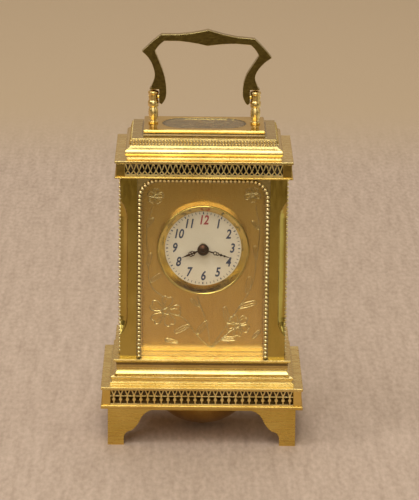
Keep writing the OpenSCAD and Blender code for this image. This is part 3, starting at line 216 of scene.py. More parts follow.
# %% Hang the lamps
# Name, place and the point it faces in metres, width and height in metres, radiance and tint.
LAMPS = (
    ("window_lamp", (-0.10, -0.72, 0.84), (0, 0, 0.06), 0.5, 1.0, 3.9, "F8FAFF"),
    ("left_lamp", (-0.75, -0.35, 0.75), (0, 0, 0.05), 0.4, 0.4, 5.0, "F8FAFF"),
    ("right_lamp", (0.95, -0.3, 0.45), (0, 0, 0.06), 0.4, 0.5, 1.2, "F2FAF4"),
    ("low_lamp", (0.0, -1.1, 0.22), (0, 0, 0.03), 0.7, 0.25, 1.6, "FFF9F0"),
    ("top_lamp", (0.0, 0.55, 0.88), (0, 0, 0.06), 0.45, 0.9, 2.2, "F8FAFF"),
)


def softbox(name, spot, aim, width, height, radiance, tint):
    """A rectangular lamp at one place, turned to another; radiance is how bright its face is."""
    data = bpy.data.lights.new(name, "AREA")
    data.shape = "RECTANGLE"
    data.size, data.size_y = width, height
    data.energy = radiance * math.pi * width * height
    data.color = colour(tint)[:3]
    lamp = bpy.data.objects.new(name, data)
    bpy.context.scene.collection.objects.link(lamp)
    lamp.location = spot
    lamp.rotation_euler = (Vector(aim) - Vector(spot)).to_track_quat("-Z", "Y").to_euler()


for lamp_values in LAMPS:
    softbox(*lamp_values)
print("lamps hung:", [lamp_values[0] for lamp_values in LAMPS])

# %% [markdown]
# ## The room
# Behind the lamps the metal sees the room itself. A photograph of a real room could be wrapped round the scene,
# but a plain one made of a few tones keeps the reflections calm: dim and brown low down in front, tan towards
# the wall behind, and a grey ceiling over all.

# %% Paint the room
world = bpy.data.worlds.new("tan_room")
bpy.context.scene.world = world
world.use_nodes = True
tree = world.node_tree
tree.nodes.clear()
direction = add(tree, "SeparateXYZ", {"Vector": add(tree, "TexCoord").outputs["Generated"]})
front_tone = add(tree, "ValToRGB", {"Fac": direction.outputs["Z"]},
                 [(0.0, "5E5445"), (0.2, "6A6252"), (0.4, "A0988C"), (1.0, "A8A49C")])
back_tone = add(tree, "ValToRGB", {"Fac": direction.outputs["Z"]},
                [(0.0, "BAA284"), (0.35, "B09A7C"), (0.6, "989082"), (1.0, "A8A49C")])
room_tone = add(tree, "MixRGB", {"Fac": zone(tree, (direction.outputs["Y"], -0.35, 0.35)),
                                 "Color1": front_tone.outputs["Color"], "Color2": back_tone.outputs["Color"]})
room = add(tree, "Background", {"Color": room_tone.outputs["Color"]}, Strength=1.0)
add(tree, "OutputWorld", {"Surface": room.outputs["Background"]})
print("room painted:", world.name)

# %% [markdown]
# ## Painted shade in the hollows
# The hollows of the mouldings, the ground under the top plate and round the wheat ears, and the insides of the
# pierced galleries are given painted shade: brown, and inside the galleries nearly black, laid into the brass's
# colour. Such places could be painted by hand on a picture wrapped round each piece, but here they are simple
# bands and boxes, so they are found from where a point lies on the clock. A box of bright brass keeps a band off
# the faces further in.

# %% A helper that paints shade
# A brown for corners, which is patina and painted shade, and a near black painted as shade inside the galleries.
PATINA_AND_SHADE_BROWN, PAINTED_SHADE_BLACK = "3A2609", "140C04"
# Millimetres over which the painted shade fades in: the bands, the box that they leave bright, and the inside
# painted nearly black.
BAND_FADE, BOX_FADE, INSIDE_SHADE_FADE = 0.12, 0.1, 0.04


def tarnished(tree, tone, place, bands, inside_shade):
    """The tone with its painted shade, which brass_finish describes."""
    axes = add(tree, "SeparateXYZ", {"Vector": place})
    height = axes.outputs["Z"]
    across, along = [add(tree, "Math", {"Value": axes.outputs[axis]}, operation="ABSOLUTE").outputs["Value"]
                     for axis in "XY"]
    # Each band is painted shade, in a hollow or under an overhang.
    for low, high, depth, shade, wide, deep in bands:
        outside = add(tree, "Math", {0: zone(tree, (across, mm(wide), mm(wide + BOX_FADE))),
                                     1: zone(tree, (along, mm(deep), mm(deep + BOX_FADE)))}, operation="MAXIMUM")
        band = zone(tree, (height, mm(low), mm(low + BAND_FADE), 0.0, depth),
                    (height, mm(high - BAND_FADE), mm(high), 1.0, 0.0))
        share = add(tree, "Math", {0: outside.outputs["Value"], 1: band}, operation="MULTIPLY")
        tone = add(tree, "MixRGB", {"Fac": share.outputs["Value"], "Color1": tone},
                   Color2=colour(shade)).outputs["Color"]
    # The inside behind a gallery is painted nearly black, as shade.
    if inside_shade:
        wide, deep, floor = inside_shade
        share = zone(tree, (height, mm(floor - INSIDE_SHADE_FADE), mm(floor)),
                     (across, mm(wide - INSIDE_SHADE_FADE), mm(wide), 1.0, 0.0),
                     (along, mm(deep - INSIDE_SHADE_FADE), mm(deep), 1.0, 0.0))
        tone = add(tree, "MixRGB", {"Fac": share, "Color1": tone}, Color2=colour(PAINTED_SHADE_BLACK)).outputs["Color"]
    return tone


print("tarnish fades over", BAND_FADE, "mm, dirt over", INSIDE_SHADE_FADE, "mm")

# %% [markdown]
# ## Brass
# The case is sawn, filed and milled from sheet and rod brass, then polished and lacquered, so its base is a
# clean metal with a light, slightly green yellow, little roughness and very soft cloudy marks from hand
# polishing. Real edges are never razor sharp: the Bevel node rounds them in the shading only, so that each one
# catches a thin line of light. The Ambient Occlusion node finds the corners, where a brown goes in that is both
# patina and painted shade. All brass on the clock shares this one recipe, because only a few of its amounts
# differ from piece to piece.

# %% The recipe for brass
CLOUDS = 140.0  # per metre: clouds of tone about 7 mm wide
POLISHING_MARKS = (900, 900, 2600)  # per metre: marks about 1.1 mm long and 0.4 mm high
MARK_DEPTH, MARK_STRENGTH = mm(0.03), 0.04
# The brown in corners is patina and painted shade.
CORNER_REACH = mm(0.7)  # how far from a corner the brown still creeps
LEAST_ROUGH, MOST_ROUGH = 0.7, 1.3  # shares of the roughness between which the marks change it


def brass_finish(name, light, dark, rough, grain=0.0, edge=0.12, patina_and_shade=0.0, marks=POLISHING_MARKS,
                 lacquer=0.7, painted_shade=(), inside_shade=None):
    """Brass between two tones. Grain makes the polishing marks deeper, or shallower below 0, edge is the rounding
    in millimetres, and the amount after edge is the depth of the brown in corners, both patina and painted shade.
    The bands of painted shade are (low, high, depth, tone, half-width and half-depth of the box inside which the
    brass stays bright), and last come the half-width, half-depth and floor of the inside painted nearly black
    as shade."""
    finish, tree, output = new_finish(name)
    place = add(tree, "TexCoord").outputs["Object"]
    clouds = add(tree, "TexNoise", {"Vector": place}, Scale=CLOUDS, Detail=4.0)
    tone = add(tree, "ValToRGB", {"Fac": clouds.outputs["Fac"]}, [(0.35, dark), (0.65, light)]).outputs["Color"]
    if patina_and_shade:
        # The node gives 1 in the open and less in a corner, where the brown goes in as patina and painted shade.
        corner = add(tree, "AmbientOcclusion", Distance=CORNER_REACH, samples=6)
        share = zone(tree, (corner.outputs["AO"], 0.25, 0.9, patina_and_shade, 0.0))
        tone = add(tree, "MixRGB", {"Fac": share, "Color1": tone}, Color2=colour(PATINA_AND_SHADE_BROWN)).outputs["Color"]
    if painted_shade or inside_shade:
        tone = tarnished(tree, tone, place, painted_shade, inside_shade)
    mark_axes = add(tree, "Mapping", {"Vector": place}, Scale=marks)
    mark = add(tree, "TexNoise", {"Vector": mark_axes.outputs["Vector"]}, Scale=1.0, Detail=3.0).outputs["Fac"]
    roughness = zone(tree, (mark, 0.3, 0.7, rough * LEAST_ROUGH, rough * MOST_ROUGH))
    soft_edge = add(tree, "Bevel", Radius=mm(edge), samples=4)
    relief = add(tree, "Bump", {"Height": mark, "Normal": soft_edge.outputs["Normal"]},
                 Strength=MARK_STRENGTH + grain, Distance=MARK_DEPTH).outputs["Normal"]
    shader = add(tree, "BsdfPrincipled", {"Base Color": tone, "Roughness": roughness, "Normal": relief,
                                          "Coat Normal": relief},
                 Metallic=1.0, Coat_Weight=lacquer, Coat_Roughness=0.08)
    tree.links.new(shader.outputs["BSDF"], output.inputs["Surface"])
    return finish


print("brass recipe ready, with clouds of", round(1000 / CLOUDS, 1), "mm")

# %% [markdown]
# ## The brasses of the case
# One brass would do for the whole case, but each piece was worked in its own way. Sheet is polished flat,
# mouldings are rolled and keep fine marks along their length, posts and bezel are turned, the feet are grained
# with a file, and the handle is cast. So each gets its own tone, roughness and marks; the darker tones of the
# pillars and the handle are partly painted shade, and the mouldings and the galleries get painted shade in
# their hollows, which gives the fine ornament its contrast.

# %% Polished, rolled, turned, pierced and cast brass
# Marks per metre: drawn out to 3.3 mm along the front mouldings and up the pillars, and level on the feet, where
# the file leaves them 4 mm long. Across they are 0.4, 0.7 and 0.3 mm.
ROLLED_MARKS, MILLED_MARKS, FILE_MARKS = (300, 2600, 2600), (1400, 1400, 300), (260, 260, 3400)
# Bands of painted shade, in millimetres: low and high edge, then the share of the painted shade and its tone,
# then half-width and half-depth of the box left bright.
BASE_PAINTED_SHADE = [
    (20.1, 21.75, 0.35, "6A4616", 17, 11),  # high in the plinth's hollow
    (20.8, 21.75, 0.75, "3E280C", 17, 11),  # close under the slab
    (10.8, 15.22, 0.95, "2E1C08", 0, 0),    # the wall behind the lower gallery
]
# Painted shade under the top plate, on the ground between the wheat ears, and nearly black behind the upper
# gallery.
CORNICE_PAINTED_SHADE = [
    (79.2, 79.95, 0.9, "5A4218", 13.8, 7.6),     # under the top plate
    (77.45, 78.95, 0.85, "5E4416", 13.8, 7.6),   # the ground of the wheat ears
    (60.0, 73.75, 1.0, PAINTED_SHADE_BLACK, 13.8, 7.6),     # the wall behind the upper gallery
]

# Polished sheet brass under a thin lacquer: a clear yellow mirror whose edges each draw one line of light.
polished_brass = brass_finish("polished_lacquered_brass", "E2C26C", "D4B258", 0.15, edge=0.4, lacquer=0.2)
# The same sheet round the upper gallery: bright outside, and painted shade nearly black inside, so the fret stands
# out.
cornice_slab_brass = brass_finish("cornice_slab_brass", "E2C26C", "D4B258", 0.15, edge=0.4, lacquer=0.2,
                                  inside_shade=(21.75, 14.75, 70.75))
# Turned and buffed rod: a creamy, blurred shine, with no mirror image on such small curves.
post_brass = brass_finish("turned_post_brass", "F6D88C", "E8C270", 0.33, grain=-0.01, edge=0.1)
# Spun and burnished ring: a deep gold with sharp, smooth reflections of the dial.
bezel_brass = brass_finish("spun_bezel_brass", "E6C670", "DAB860", 0.14, grain=-0.02, lacquer=0.3)
# Milled bar, gone a little green and darkened as painted shade: the pillars look darker and cooler than the
# mouldings.
pillar_brass = brass_finish("milled_pillar_brass", "C4AC56", "B89E48", 0.2, marks=MILLED_MARKS, lacquer=0.3)
# Rolled strip: long soft streaks of light along the mouldings, and brown in their hollows, which is painted shade,
# and in the lower one's corners also patina.
base_brass = brass_finish("rolled_base_moulding_brass", "E8CC7E", "DCBE6C", 0.25, edge=0.32, patina_and_shade=0.4,
                          lacquer=0.4, marks=ROLLED_MARKS, painted_shade=BASE_PAINTED_SHADE)
cornice_brass = brass_finish("rolled_cornice_moulding_brass", "E8CE84", "DCC074", 0.22, edge=0.32,
                             lacquer=0.4, marks=ROLLED_MARKS, painted_shade=CORNICE_PAINTED_SHADE)
# Filed sheet: the file marks break up the mirror and leave a satin gold.
grained_brass = brass_finish("grained_foot_brass", "DDBE64", "CFAE52", 0.3, grain=0.06, marks=FILE_MARKS,
                             lacquer=0.3)
# Pierced strip: pale bars with brown in every sawn corner, patina and painted shade; the upper one is painted
# nearly black inside, as shade.
pierced_brass = brass_finish("pierced_strip_brass", "F8DE94", "E8C878", 0.34, patina_and_shade=0.5, lacquer=0.3)
cornice_strip_brass = brass_finish("pierced_cornice_brass", "FBE49C", "ECCE80", 0.34, edge=0.1, patina_and_shade=0.4,
                                   lacquer=0.3, inside_shade=(21.75, 14.75, 70.0))
# Pressed leaves: soft gold grains with dark lines between them, which are patina and painted shade.
ear_brass = brass_finish("pressed_wheat_ears", "F6DA8C", "E6C066", 0.3, edge=0.03, patina_and_shade=0.7, lacquer=0.3)
# Gilt beads: each a pale spark in a brown setting, which is patina and painted shade.
bead_brass = brass_finish("gilt_beads", "F4E0A4", "E8D08A", 0.16, edge=0.03, patina_and_shade=0.9)
# Cast brass gone dull and olive with handling, and darkened further as painted shade, and its filed edges,
# which hands keep bright and which are lightened further as a painted highlight.
handle_brass = brass_finish("cast_handle_brass", "A08A46", "968040", 0.2, grain=-0.036, lacquer=0.3)
worn_and_highlit_brass = brass_finish("worn_and_highlit_handle_edges", "F4DE94", "E4C878", 0.34, grain=-0.02, lacquer=0.4)
print("finishes so far, with the cloth:", len(bpy.data.materials))

# %% [markdown]
# ## Glass
# The panes are clear plate glass with ground bevels. A pane could be left out and only its gleam painted, but
# real refraction at the bevels is what shows that there is glass, so it is a full transmission material with
# the index of window glass. A tiny waviness keeps its reflections from being perfect. The lamps have to reach
# the dial through the panes, so where the finishes are given out the panes are set to cast no shadow.

# %% Clear plate glass
# Ground and polished plate glass: invisible but for bright bevels and faint, slightly wavy reflections.
plate_glass, tree, output = new_finish("bevelled_plate_glass")
place = add(tree, "TexCoord").outputs["Object"]
waves = add(tree, "TexNoise", {"Vector": place}, Scale=60.0, Detail=1.0)  # waves 17 mm long
ripple = add(tree, "Bump", {"Height": waves.outputs["Fac"]}, Strength=0.02, Distance=mm(0.1))
glass_shader = add(tree, "BsdfPrincipled", {"Normal": ripple.outputs["Normal"]}, Base_Color=colour("F7FBF6"),
                   Roughness=0.0, IOR=1.5, Transmission_Weight=1.0)
tree.links.new(glass_shader.outputs["BSDF"], output.inputs["Surface"])
print("glass ready")

# %% [markdown]
# ## Enamel, steel and the movement's brass
# The dial is white enamel fired on copper: glossy, with a little waviness, and its white is toned down part way
# as painted shade, for the deep case. The movement's wheels and plates are a paler, unlacquered brass, and its
# arbors and screws are polished steel. These are small or stand behind glass, so a simpler recipe serves: two
# close tones in a fine mottle, a typical roughness, and a slight relief.

# %% Enamel and small metal finishes
def plain_finish(name, light, dark, mottles, rough, metallic=1.0, coat=0.0, bump=0.0):
    """A finish with a slight mottle of two tones, at so many mottles per metre."""
    finish, tree, output = new_finish(name)
    place = add(tree, "TexCoord").outputs["Object"]
    mottle = add(tree, "TexNoise", {"Vector": place}, Scale=mottles, Detail=3.0).outputs["Fac"]
    links = {"Base Color": add(tree, "ValToRGB", {"Fac": mottle}, [(0.3, dark), (0.7, light)]).outputs["Color"]}
    if bump:
        links["Normal"] = add(tree, "Bump", {"Height": mottle}, Strength=bump, Distance=mm(0.05)).outputs["Normal"]
    shader = add(tree, "BsdfPrincipled", links, Roughness=rough, Metallic=metallic, Coat_Weight=coat,
                 Coat_Roughness=0.05)
    tree.links.new(shader.outputs["BSDF"], output.inputs["Surface"])
    return finish


# Of the mottles per metre, 2600 are 0.4 mm wide, 500 are 2 mm and 160 are 6 mm.
# Fired enamel: a warm white, toned down part way as painted shade, that is glossy and very slightly wavy, in 4.5
# mm waves.
white_enamel = plain_finish("fired_white_enamel", "D8C4AA", "D0BA9E", 220, 0.25, metallic=0.0, coat=0.5, bump=0.05)
# Painted and fired figures: blue black and brick red, a little duller than the ground.
figure_enamel = plain_finish("blue_black_figures", "2A3350", "1C2238", 2600, 0.35, metallic=0.0)
red_enamel = plain_finish("red_figures", "A83236", "8E2226", 2600, 0.35, metallic=0.0)
# Cut and polished wheel brass: paler than the case and a little soft, for want of lacquer.
wheel_brass = plain_finish("wheel_brass", "E2C880", "D3B468", 500, 0.28, bump=0.03)
# Polished steel: a cool grey against all the yellow.
bright_steel = plain_finish("polished_steel", "C9C9CC", "B6B6BB", 800, 0.22, bump=0.03)
# Steel blued by heat: a deep blue that only shows where the light strikes it.
blue_steel = plain_finish("blued_steel", "27335F", "1C2547", 700, 0.28, bump=0.03)
# Steel hands browned by heat: nearly black against the enamel, with a warm gleam.
hand_finish = plain_finish("browned_hand_steel", "4C2E20", "2E1A10", 900, 0.3, bump=0.03)
# Frosted and gilt plates: an even, grainy gold without reflections; the frosting is drawn coarser, at 0.7 mm.
frosted_gilt = plain_finish("frosted_gilt_plates", "F2D48C", "E6C474", 1400, 0.5, bump=0.05)
# Cast bell metal, turned bright: redder than brass, with broad soft highlights.
bell_finish = plain_finish("bell_metal", "D2AE5E", "C0994A", 160, 0.24, bump=0.03)
print("small finishes ready")

# %% [markdown]
# ## The engraved mask
# The plate behind the front glass is matted by rubbing it one way with fine grit and then gilded, which gives
# a warm, silky sheen that isn't a mirror. Fine long streaks in colour and relief make that silk. It is the
# ground for the engraving, which comes later as its own piece.

# %% Silky gilt for the mask
# Per metre: the silk is streaks 0.4 mm wide and 6 mm long, coarser than the real grit so that they show, and
# the clouds of tone are 17 by 25 mm.
SILK, SILK_CLOUDS = (2400, 2400, 160), (60, 60, 40)

# Matted, gilt brass: an orange gold that glows in soft upright streaks.
mask_finish, tree, output = new_finish("matted_gilt_mask")
place = add(tree, "TexCoord").outputs["Object"]
silk_axes = add(tree, "Mapping", {"Vector": place}, Scale=SILK)
silk = add(tree, "TexNoise", {"Vector": silk_axes.outputs["Vector"]}, Scale=1.0, Detail=3.0)
cloud_axes = add(tree, "Mapping", {"Vector": place}, Scale=SILK_CLOUDS)
cloud = add(tree, "TexNoise", {"Vector": cloud_axes.outputs["Vector"]}, Scale=1.0, Detail=2.0)
silk_tone = add(tree, "ValToRGB", {"Fac": silk.outputs["Fac"]}, [(0.3, "DEB060"), (0.7, "EEC270")])
cloud_tone = add(tree, "ValToRGB", {"Fac": cloud.outputs["Fac"]}, [(0.3, "E0B05A"), (0.7, "F2C872")])
mask_tone = add(tree, "MixRGB", {"Color1": silk_tone.outputs["Color"], "Color2": cloud_tone.outputs["Color"]},
                Fac=0.5)
silk_bump = add(tree, "Bump", {"Height": silk.outputs["Fac"]}, Strength=0.1, Distance=mm(0.03))
mask_shader = add(tree, "BsdfPrincipled", {"Base Color": mask_tone.outputs["Color"],
                                           "Normal": silk_bump.outputs["Normal"]}, Metallic=1.0, Roughness=0.22)
tree.links.new(mask_shader.outputs["BSDF"], output.inputs["Surface"])
print("mask finish ready")

# %% [markdown]
# ## Dress the solids
# Each ready-made solid is one piece of one material on the real clock, so it takes one finish over its whole
# surface. A list by finish is easier to check against the real clock than a list by piece. The solids' meshes
# stay as they are, and the last line shows that none was forgotten.

# %% Give every solid its finish
FINISH_OF = {
    polished_brass: ["base_plate", "base_corner_posts", "top_plate", "handle_pins", "rear_door", "door_knob",
                     "door_hinge_pins"],
    post_brass: ["handle_post_left", "handle_post_right"],
    bezel_brass: ["dial_bezel"],
    pillar_brass: ["pillar_front_left", "pillar_front_right", "pillar_rear_left", "pillar_rear_right"],
    base_brass: ["base_moulding"],
    cornice_brass: ["cornice_moulding"],
    grained_brass: ["foot_frame"],
    pierced_brass: ["base_gallery"],
    cornice_strip_brass: ["cornice_gallery"],
    cornice_slab_brass: ["cornice_corner_posts", "cornice_frame"],
    bead_brass: ["front_bead_frame", "left_bead_frame", "right_bead_frame"],
    handle_brass: ["handle"],
    plate_glass: ["front_glass", "left_glass", "right_glass", "top_glass", "door_glass"],
    mask_finish: ["dial_mask"],
    white_enamel: ["dial"],
    hand_finish: ["hour_hand", "minute_hand", "hand_cap"],
    frosted_gilt: ["front_plate", "back_plate", "platform", "platform_cocks"],
    wheel_brass: ["movement_pillars", "movement_bar", "barrel", "centre_wheel", "third_wheel", "contrate_wheel",
                  "cannon_pinion", "minute_wheel", "hour_wheel", "escape_wheel", "balance_wheel"],
    bright_steel: ["case_screws", "movement_screws", "winding_arbor", "set_arbor", "pallet_lever", "hammer"],
    blue_steel: ["balance_spring", "click"],
    bell_finish: ["bell", "bell_screw"],
}
dressed = set()
for finish, names in FINISH_OF.items():
    for name in names:
        nodes[name].data.materials.clear()
        nodes[name].data.materials.append(finish)
        dressed.add(name)
for name in FINISH_OF[plate_glass]:
    nodes[name].visible_shadow = False
print("solids without a finish:", sorted(set(nodes) - dressed))

# %% [markdown]
# ## Tools for modelling
# The fine pieces start as primitives, are shaped, and then settled: their place, turn and size go into the
# mesh, so the object itself sits at the origin as the ready-made solids do. What repeats is modelled once and
# copied, each copy with a mesh of its own, and the copies are joined into one piece.

# %% Helpers for new pieces
def only(piece):
    """Selects one piece alone and makes it the active one."""
    deselect()
    piece.select_set(True)
    bpy.context.view_layer.objects.active = piece


def settle(piece):
    """Puts the place, turn and size of the object into its mesh."""
    only(piece)
    bpy.ops.object.transform_apply(location=True, rotation=True, scale=True)


def as_mesh(piece):
    """Turns a text or a curve into a mesh."""
    only(piece)
    bpy.ops.object.convert(target="MESH")
    return bpy.context.object


def twin(piece, place, turn):
    """A copy with its own mesh, put at a place in millimetres with a turn in degrees about X, Y and Z."""
    other = piece.copy()
    other.data = piece.data.copy()
    bpy.context.scene.collection.objects.link(other)
    about_x, about_y, about_z = (Matrix.Rotation(math.radians(angle), 4, axis) for angle, axis in zip(turn, "XYZ"))
    other.matrix_world = Matrix.Translation(mm(*place)) @ about_z @ about_y @ about_x
    return other


def joined(pieces, name, finish, body="case"):
    """Joins pieces into one that rides on a body, and names and dresses it."""
    deselect()
    for piece in pieces:
        piece.select_set(True)
    bpy.context.view_layer.objects.active = pieces[0]
    if len(pieces) > 1:
        bpy.ops.object.join()
    whole = bpy.context.object
    settle(whole)
    whole.name = name
    whole.data.materials.clear()
    whole.data.materials.append(finish)
    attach(whole, body)
    print(name, "has", len(whole.data.polygons), "faces")


print("tools ready")

# %% [markdown]
# ## The dial's figures
# The figures are painted on the white enamel and fired. They stand upright all round, lean a little, and the
# twelve is red. Each is a text turned into a thin mesh that lies on the enamel. Blender's own font is narrowed
# to the slim shape of such figures, and its stroke is made wider by a small offset.

# %% Paint the twelve figures
# In millimetres: the middle of the dial and the face of its enamel, the ring on which the figures stand, the
# size of their font, the thickness of the paint, and how much wider each stroke gets on either side.
DIAL_X, DIAL_Z, DIAL_FACE = 0.0, 50.1, -8.4
FIGURE_RING, FIGURE_SIZE, PAINT, STROKE_WIDENED_BY = 7.35, 3.35, 0.012, 0.085
FIGURE_WIDTH, FIGURE_LEAN = 0.76, 0.22  # shares of the font's own width and of its height


def on_dial(turn, ring, lift):
    """A place on the dial in millimetres, at a clockwise turn from twelve, lifted a little off the enamel."""
    return DIAL_X + ring * math.sin(turn), DIAL_FACE - lift, DIAL_Z + ring * math.cos(turn)


def figure(number):
    """One figure at its hour, upright, lying on the enamel."""
    deselect()
    bpy.ops.object.text_add(location=(0, 0, 0))
    text = bpy.context.object
    text.data.body = str(number)
    text.data.size = mm(FIGURE_SIZE)
    text.data.shear = FIGURE_LEAN
    text.data.offset = mm(STROKE_WIDENED_BY)
    text.data.extrude = mm(PAINT)
    text.data.resolution_u = 4
    text.data.align_x, text.data.align_y = "CENTER", "CENTER"
    text = as_mesh(text)
    text.scale = (FIGURE_WIDTH, 1.0, 1.0)
    text.rotation_euler = (math.pi / 2, 0, 0)
    text.location = mm(*on_dial(math.radians(30 * number), FIGURE_RING, PAINT))
    settle(text)
    return text


joined([figure(n) for n in range(1, 12)], "dial_figures", figure_enamel)
joined([figure(12)], "dial_figure_twelve", red_enamel)

# %% [markdown]
# ## The minute track
# Sixty fine strokes run round the edge of the enamel, and each fifth one is broader, so that the minutes can be
# read. One stroke of each kind is a flattened box with its edges taken off, copied round the centre.

# %% Paint the minute track
# In millimetres: the ring of the strokes, how far their middle is off the enamel, their thickness and their edge.
TRACK_RING, TRACK_LIFT, STROKE_THICK, STROKE_EDGE = 9.2, 0.01, 0.02, 0.008


def minute_stroke(wide, long):
    """One stroke at twelve, wide and long in millimetres, as thin as paint."""
    deselect()
    bpy.ops.mesh.primitive_cube_add(size=1, location=(0, 0, 0))
    stroke = bpy.context.object
    stroke.scale = mm(wide, STROKE_THICK, long)
    settle(stroke)
    bpy.ops.object.mode_set(mode="EDIT")
    bpy.ops.mesh.select_all(action="SELECT")
    bpy.ops.mesh.bevel(offset=mm(STROKE_EDGE), segments=1)
    bpy.ops.object.mode_set(mode="OBJECT")
    return stroke


fine_stroke, broad_stroke = minute_stroke(0.16, 0.52), minute_stroke(0.3, 0.56)
track = []
for minute in range(60):
    at = on_dial(math.radians(6 * minute), TRACK_RING, TRACK_LIFT)
    track.append(twin(fine_stroke if minute % 5 else broad_stroke, at, (0, 6 * minute, 0)))
for pattern in (fine_stroke, broad_stroke):
    bpy.data.objects.remove(pattern)
joined(track, "minute_track", figure_enamel)

# %% [markdown]
# ## The engraving on the mask
# The mask behind the glass is cut by hand with flowers: the graver turns up bright grooves that flash against
# the matt ground. Here a plain spray of dog roses and willow leaves grows from the foot of the mask. A groove's
# flash comes from its round flanks, so each line is a smooth curve with a small round section, flattened on the
# mask until it stands about a tenth of a millimetre proud.

# %% A helper that cuts one line
MASK_FACE, LINE_LIFT = -8.2, 0.01  # millimetres: the mask's front, and how far a line's middle is off it
LINE_FLATNESS = 0.7  # a line's height over its width
# Bright-cut brass: thin lines that flash white gold where their flanks meet the light.
bright_cut = brass_finish("bright_cut_lines", "F2DCA0", "E2C888", 0.18, edge=0.02)


def cut_line(points, width, closed=False):
    """A soft line, so wide, through (across, up) points on the mask, all in millimetres."""
    deselect()
    bpy.ops.curve.primitive_bezier_curve_add(location=(0, 0, 0))
    line = bpy.context.object
    run = line.data.splines[0]
    run.bezier_points.add(len(points) - 2)
    for spot, (across, height) in zip(run.bezier_points, points):
        spot.co = mm(across, 0, height)
        spot.handle_left_type = spot.handle_right_type = "AUTO"
    run.use_cyclic_u = closed
    line.data.dimensions = "3D"
    line.data.resolution_u = 5
    line.data.bevel_depth = mm(width / 2)
    line.data.bevel_resolution = 1
    line.data.use_fill_caps = True
    line = as_mesh(line)
    line.scale = (1, LINE_FLATNESS, 1)
    line.location = mm(0, MASK_FACE - LINE_LIFT, 0)
    settle(line)
    return line


def turned(points, across, height, angle, size):
    """Points turned clockwise by an angle in degrees, scaled by a size, and moved to a place."""
    c, s = math.cos(math.radians(angle)) * size, math.sin(math.radians(angle)) * size
    return [(across + x * c + z * s, height - x * s + z * c) for x, z in points]


print("lines are cut", -MASK_FACE, "mm in front of the clock's middle")

# %% [markdown]
# ## The spray of flowers
# An engraver builds a spray from a few strokes used again and again: a petal and its fold, a leaf and its rib.
# The same is done here. One petal is turned five times round a heart for each rose, and one leaf is laid along
# the stems in many sizes and leanings, so the spray looks free, though it is made of five shapes and some stems.

# %% Cut the roses, stems and leaves
PETAL = [(0, 0.9), (-0.95, 1.9), (-1.35, 3.2), (-0.7, 4.05), (0, 3.7), (0.7, 4.05), (1.35, 3.2), (0.95, 1.9)]
PETAL_FOLD = [(-0.35, 1.5), (-0.45, 2.5), (-0.3, 3.2)]
LEAF = [(0, 0), (-0.75, 1.6), (-0.8, 3.2), (0, 5.6), (0.65, 3.4), (0.6, 1.6)]
LEAF_RIB = [(0, 0.1), (-0.08, 2.4), (0, 4.7)]
HEART = [(0.62, 0), (0, 0.62), (-0.62, 0), (0, -0.62)]
# Roses and leaves: across, up, size and turn in degrees.
ROSES = ((-9.6, 33.2, 1.0, 12), (9.2, 29.6, 0.72, 40), (-12.2, 63.6, 0.5, 5), (12.4, 64.2, 0.5, 30))
LEAVES = (
    (-3.4, 29.6, 0.75, -118), (-1.4, 27.2, 0.8, 38), (6.6, 30.2, 0.8, -12), (9.3, 34.4, 0.85, 72),
    (11.4, 38.2, 0.8, 8), (-13.4, 41.0, 0.62, 52), (-14.0, 45.4, 0.6, 12), (13.6, 47.4, 0.6, -6),
    (14.2, 55.2, 0.5, -40), (-14.3, 55.6, 0.5, 36), (-0.6, 34.6, 0.55, -52), (4.8, 25.8, 0.7, 86),
    (-6.2, 25.0, 0.6, -78), (13.0, 26.2, 0.5, 40),
)
STEMS = (
    [(2.0, 23.6), (-1.5, 27.0), (-4.6, 31.2), (-7.2, 32.6)], [(2.6, 23.6), (5.2, 26.2), (7.4, 28.2)],
    [(2.3, 23.6), (9.0, 34.0), (12.6, 40.5), (13.6, 47.5)], [(-9.9, 36.9), (-13.2, 40.0), (-14.0, 45.5)],
    [(14.0, 49.5), (14.3, 55.0), (13.2, 61.6)], [(-14.2, 48.5), (-14.3, 55.5), (-12.8, 61.4)],
    [(2.1, 23.8), (1.2, 29.5), (-0.4, 34.5), (-1.6, 37.6)],
)


def rose(across, height, size, spin):
    """Five petals with a fold each, round a small heart."""
    lines = [cut_line(turned(HEART, across, height, spin, size), 0.34, closed=True)]
    for k in range(5):
        lines.append(cut_line(turned(PETAL, across, height, spin + 72 * k, size), 0.32, closed=True))
        lines.append(cut_line(turned(PETAL_FOLD, across, height, spin + 72 * k, size), 0.2))
    return lines


def leaf(across, height, size, lean):
    """One willow leaf with its rib; lean is clockwise from upright."""
    return [cut_line(turned(LEAF, across, height, lean, size), 0.26, closed=True),
            cut_line(turned(LEAF_RIB, across, height, lean, size), 0.18)]


cuts = [line for values in ROSES for line in rose(*values)]
cuts += [cut_line(stem, 0.28) for stem in STEMS]
cuts += [line for values in LEAVES for line in leaf(*values)]
joined(cuts, "mask_engraving", bright_cut)

# %% [markdown]
# ## The wheat-ear band
# Under the top moulding runs a band of small pressed leaves in two rows that lean against each other, as a
# plait of wheat ears does. It comes off a knurled roller on the real strip. One leaf is a small ball drawn out
# and flattened; copies of it stand along the four sloping sides of the cornice.

# %% Press the wheat ears
EAR_PITCH = 0.8  # millimetres from leaf to leaf
BAND_SLOPE = -17  # degrees
# Each side of the cornice: its turn in degrees, half its run, and its distance from the middle in millimetres.
EAR_SIDES = ((0, 18.1, 11.45), (90, 11.1, 18.45), (180, 18.1, 11.45), (270, 11.1, 18.45))
# Each row: how far it stands off the band's middle, its height, and how its leaves lean in degrees.
EAR_ROWS = ((0.12, 77.86, 40), (-0.1, 78.57, -40))


def ear_leaf():
    """One leaf, about 0.4 mm wide and 1 mm long, still upright."""
    deselect()
    bpy.ops.mesh.primitive_uv_sphere_add(segments=8, ring_count=5, radius=1, location=(0, 0, 0))
    leaf_ball = bpy.context.object
    leaf_ball.scale = mm(0.21, 0.3, 0.5)
    settle(leaf_ball)
    bpy.ops.object.shade_smooth()
    return leaf_ball


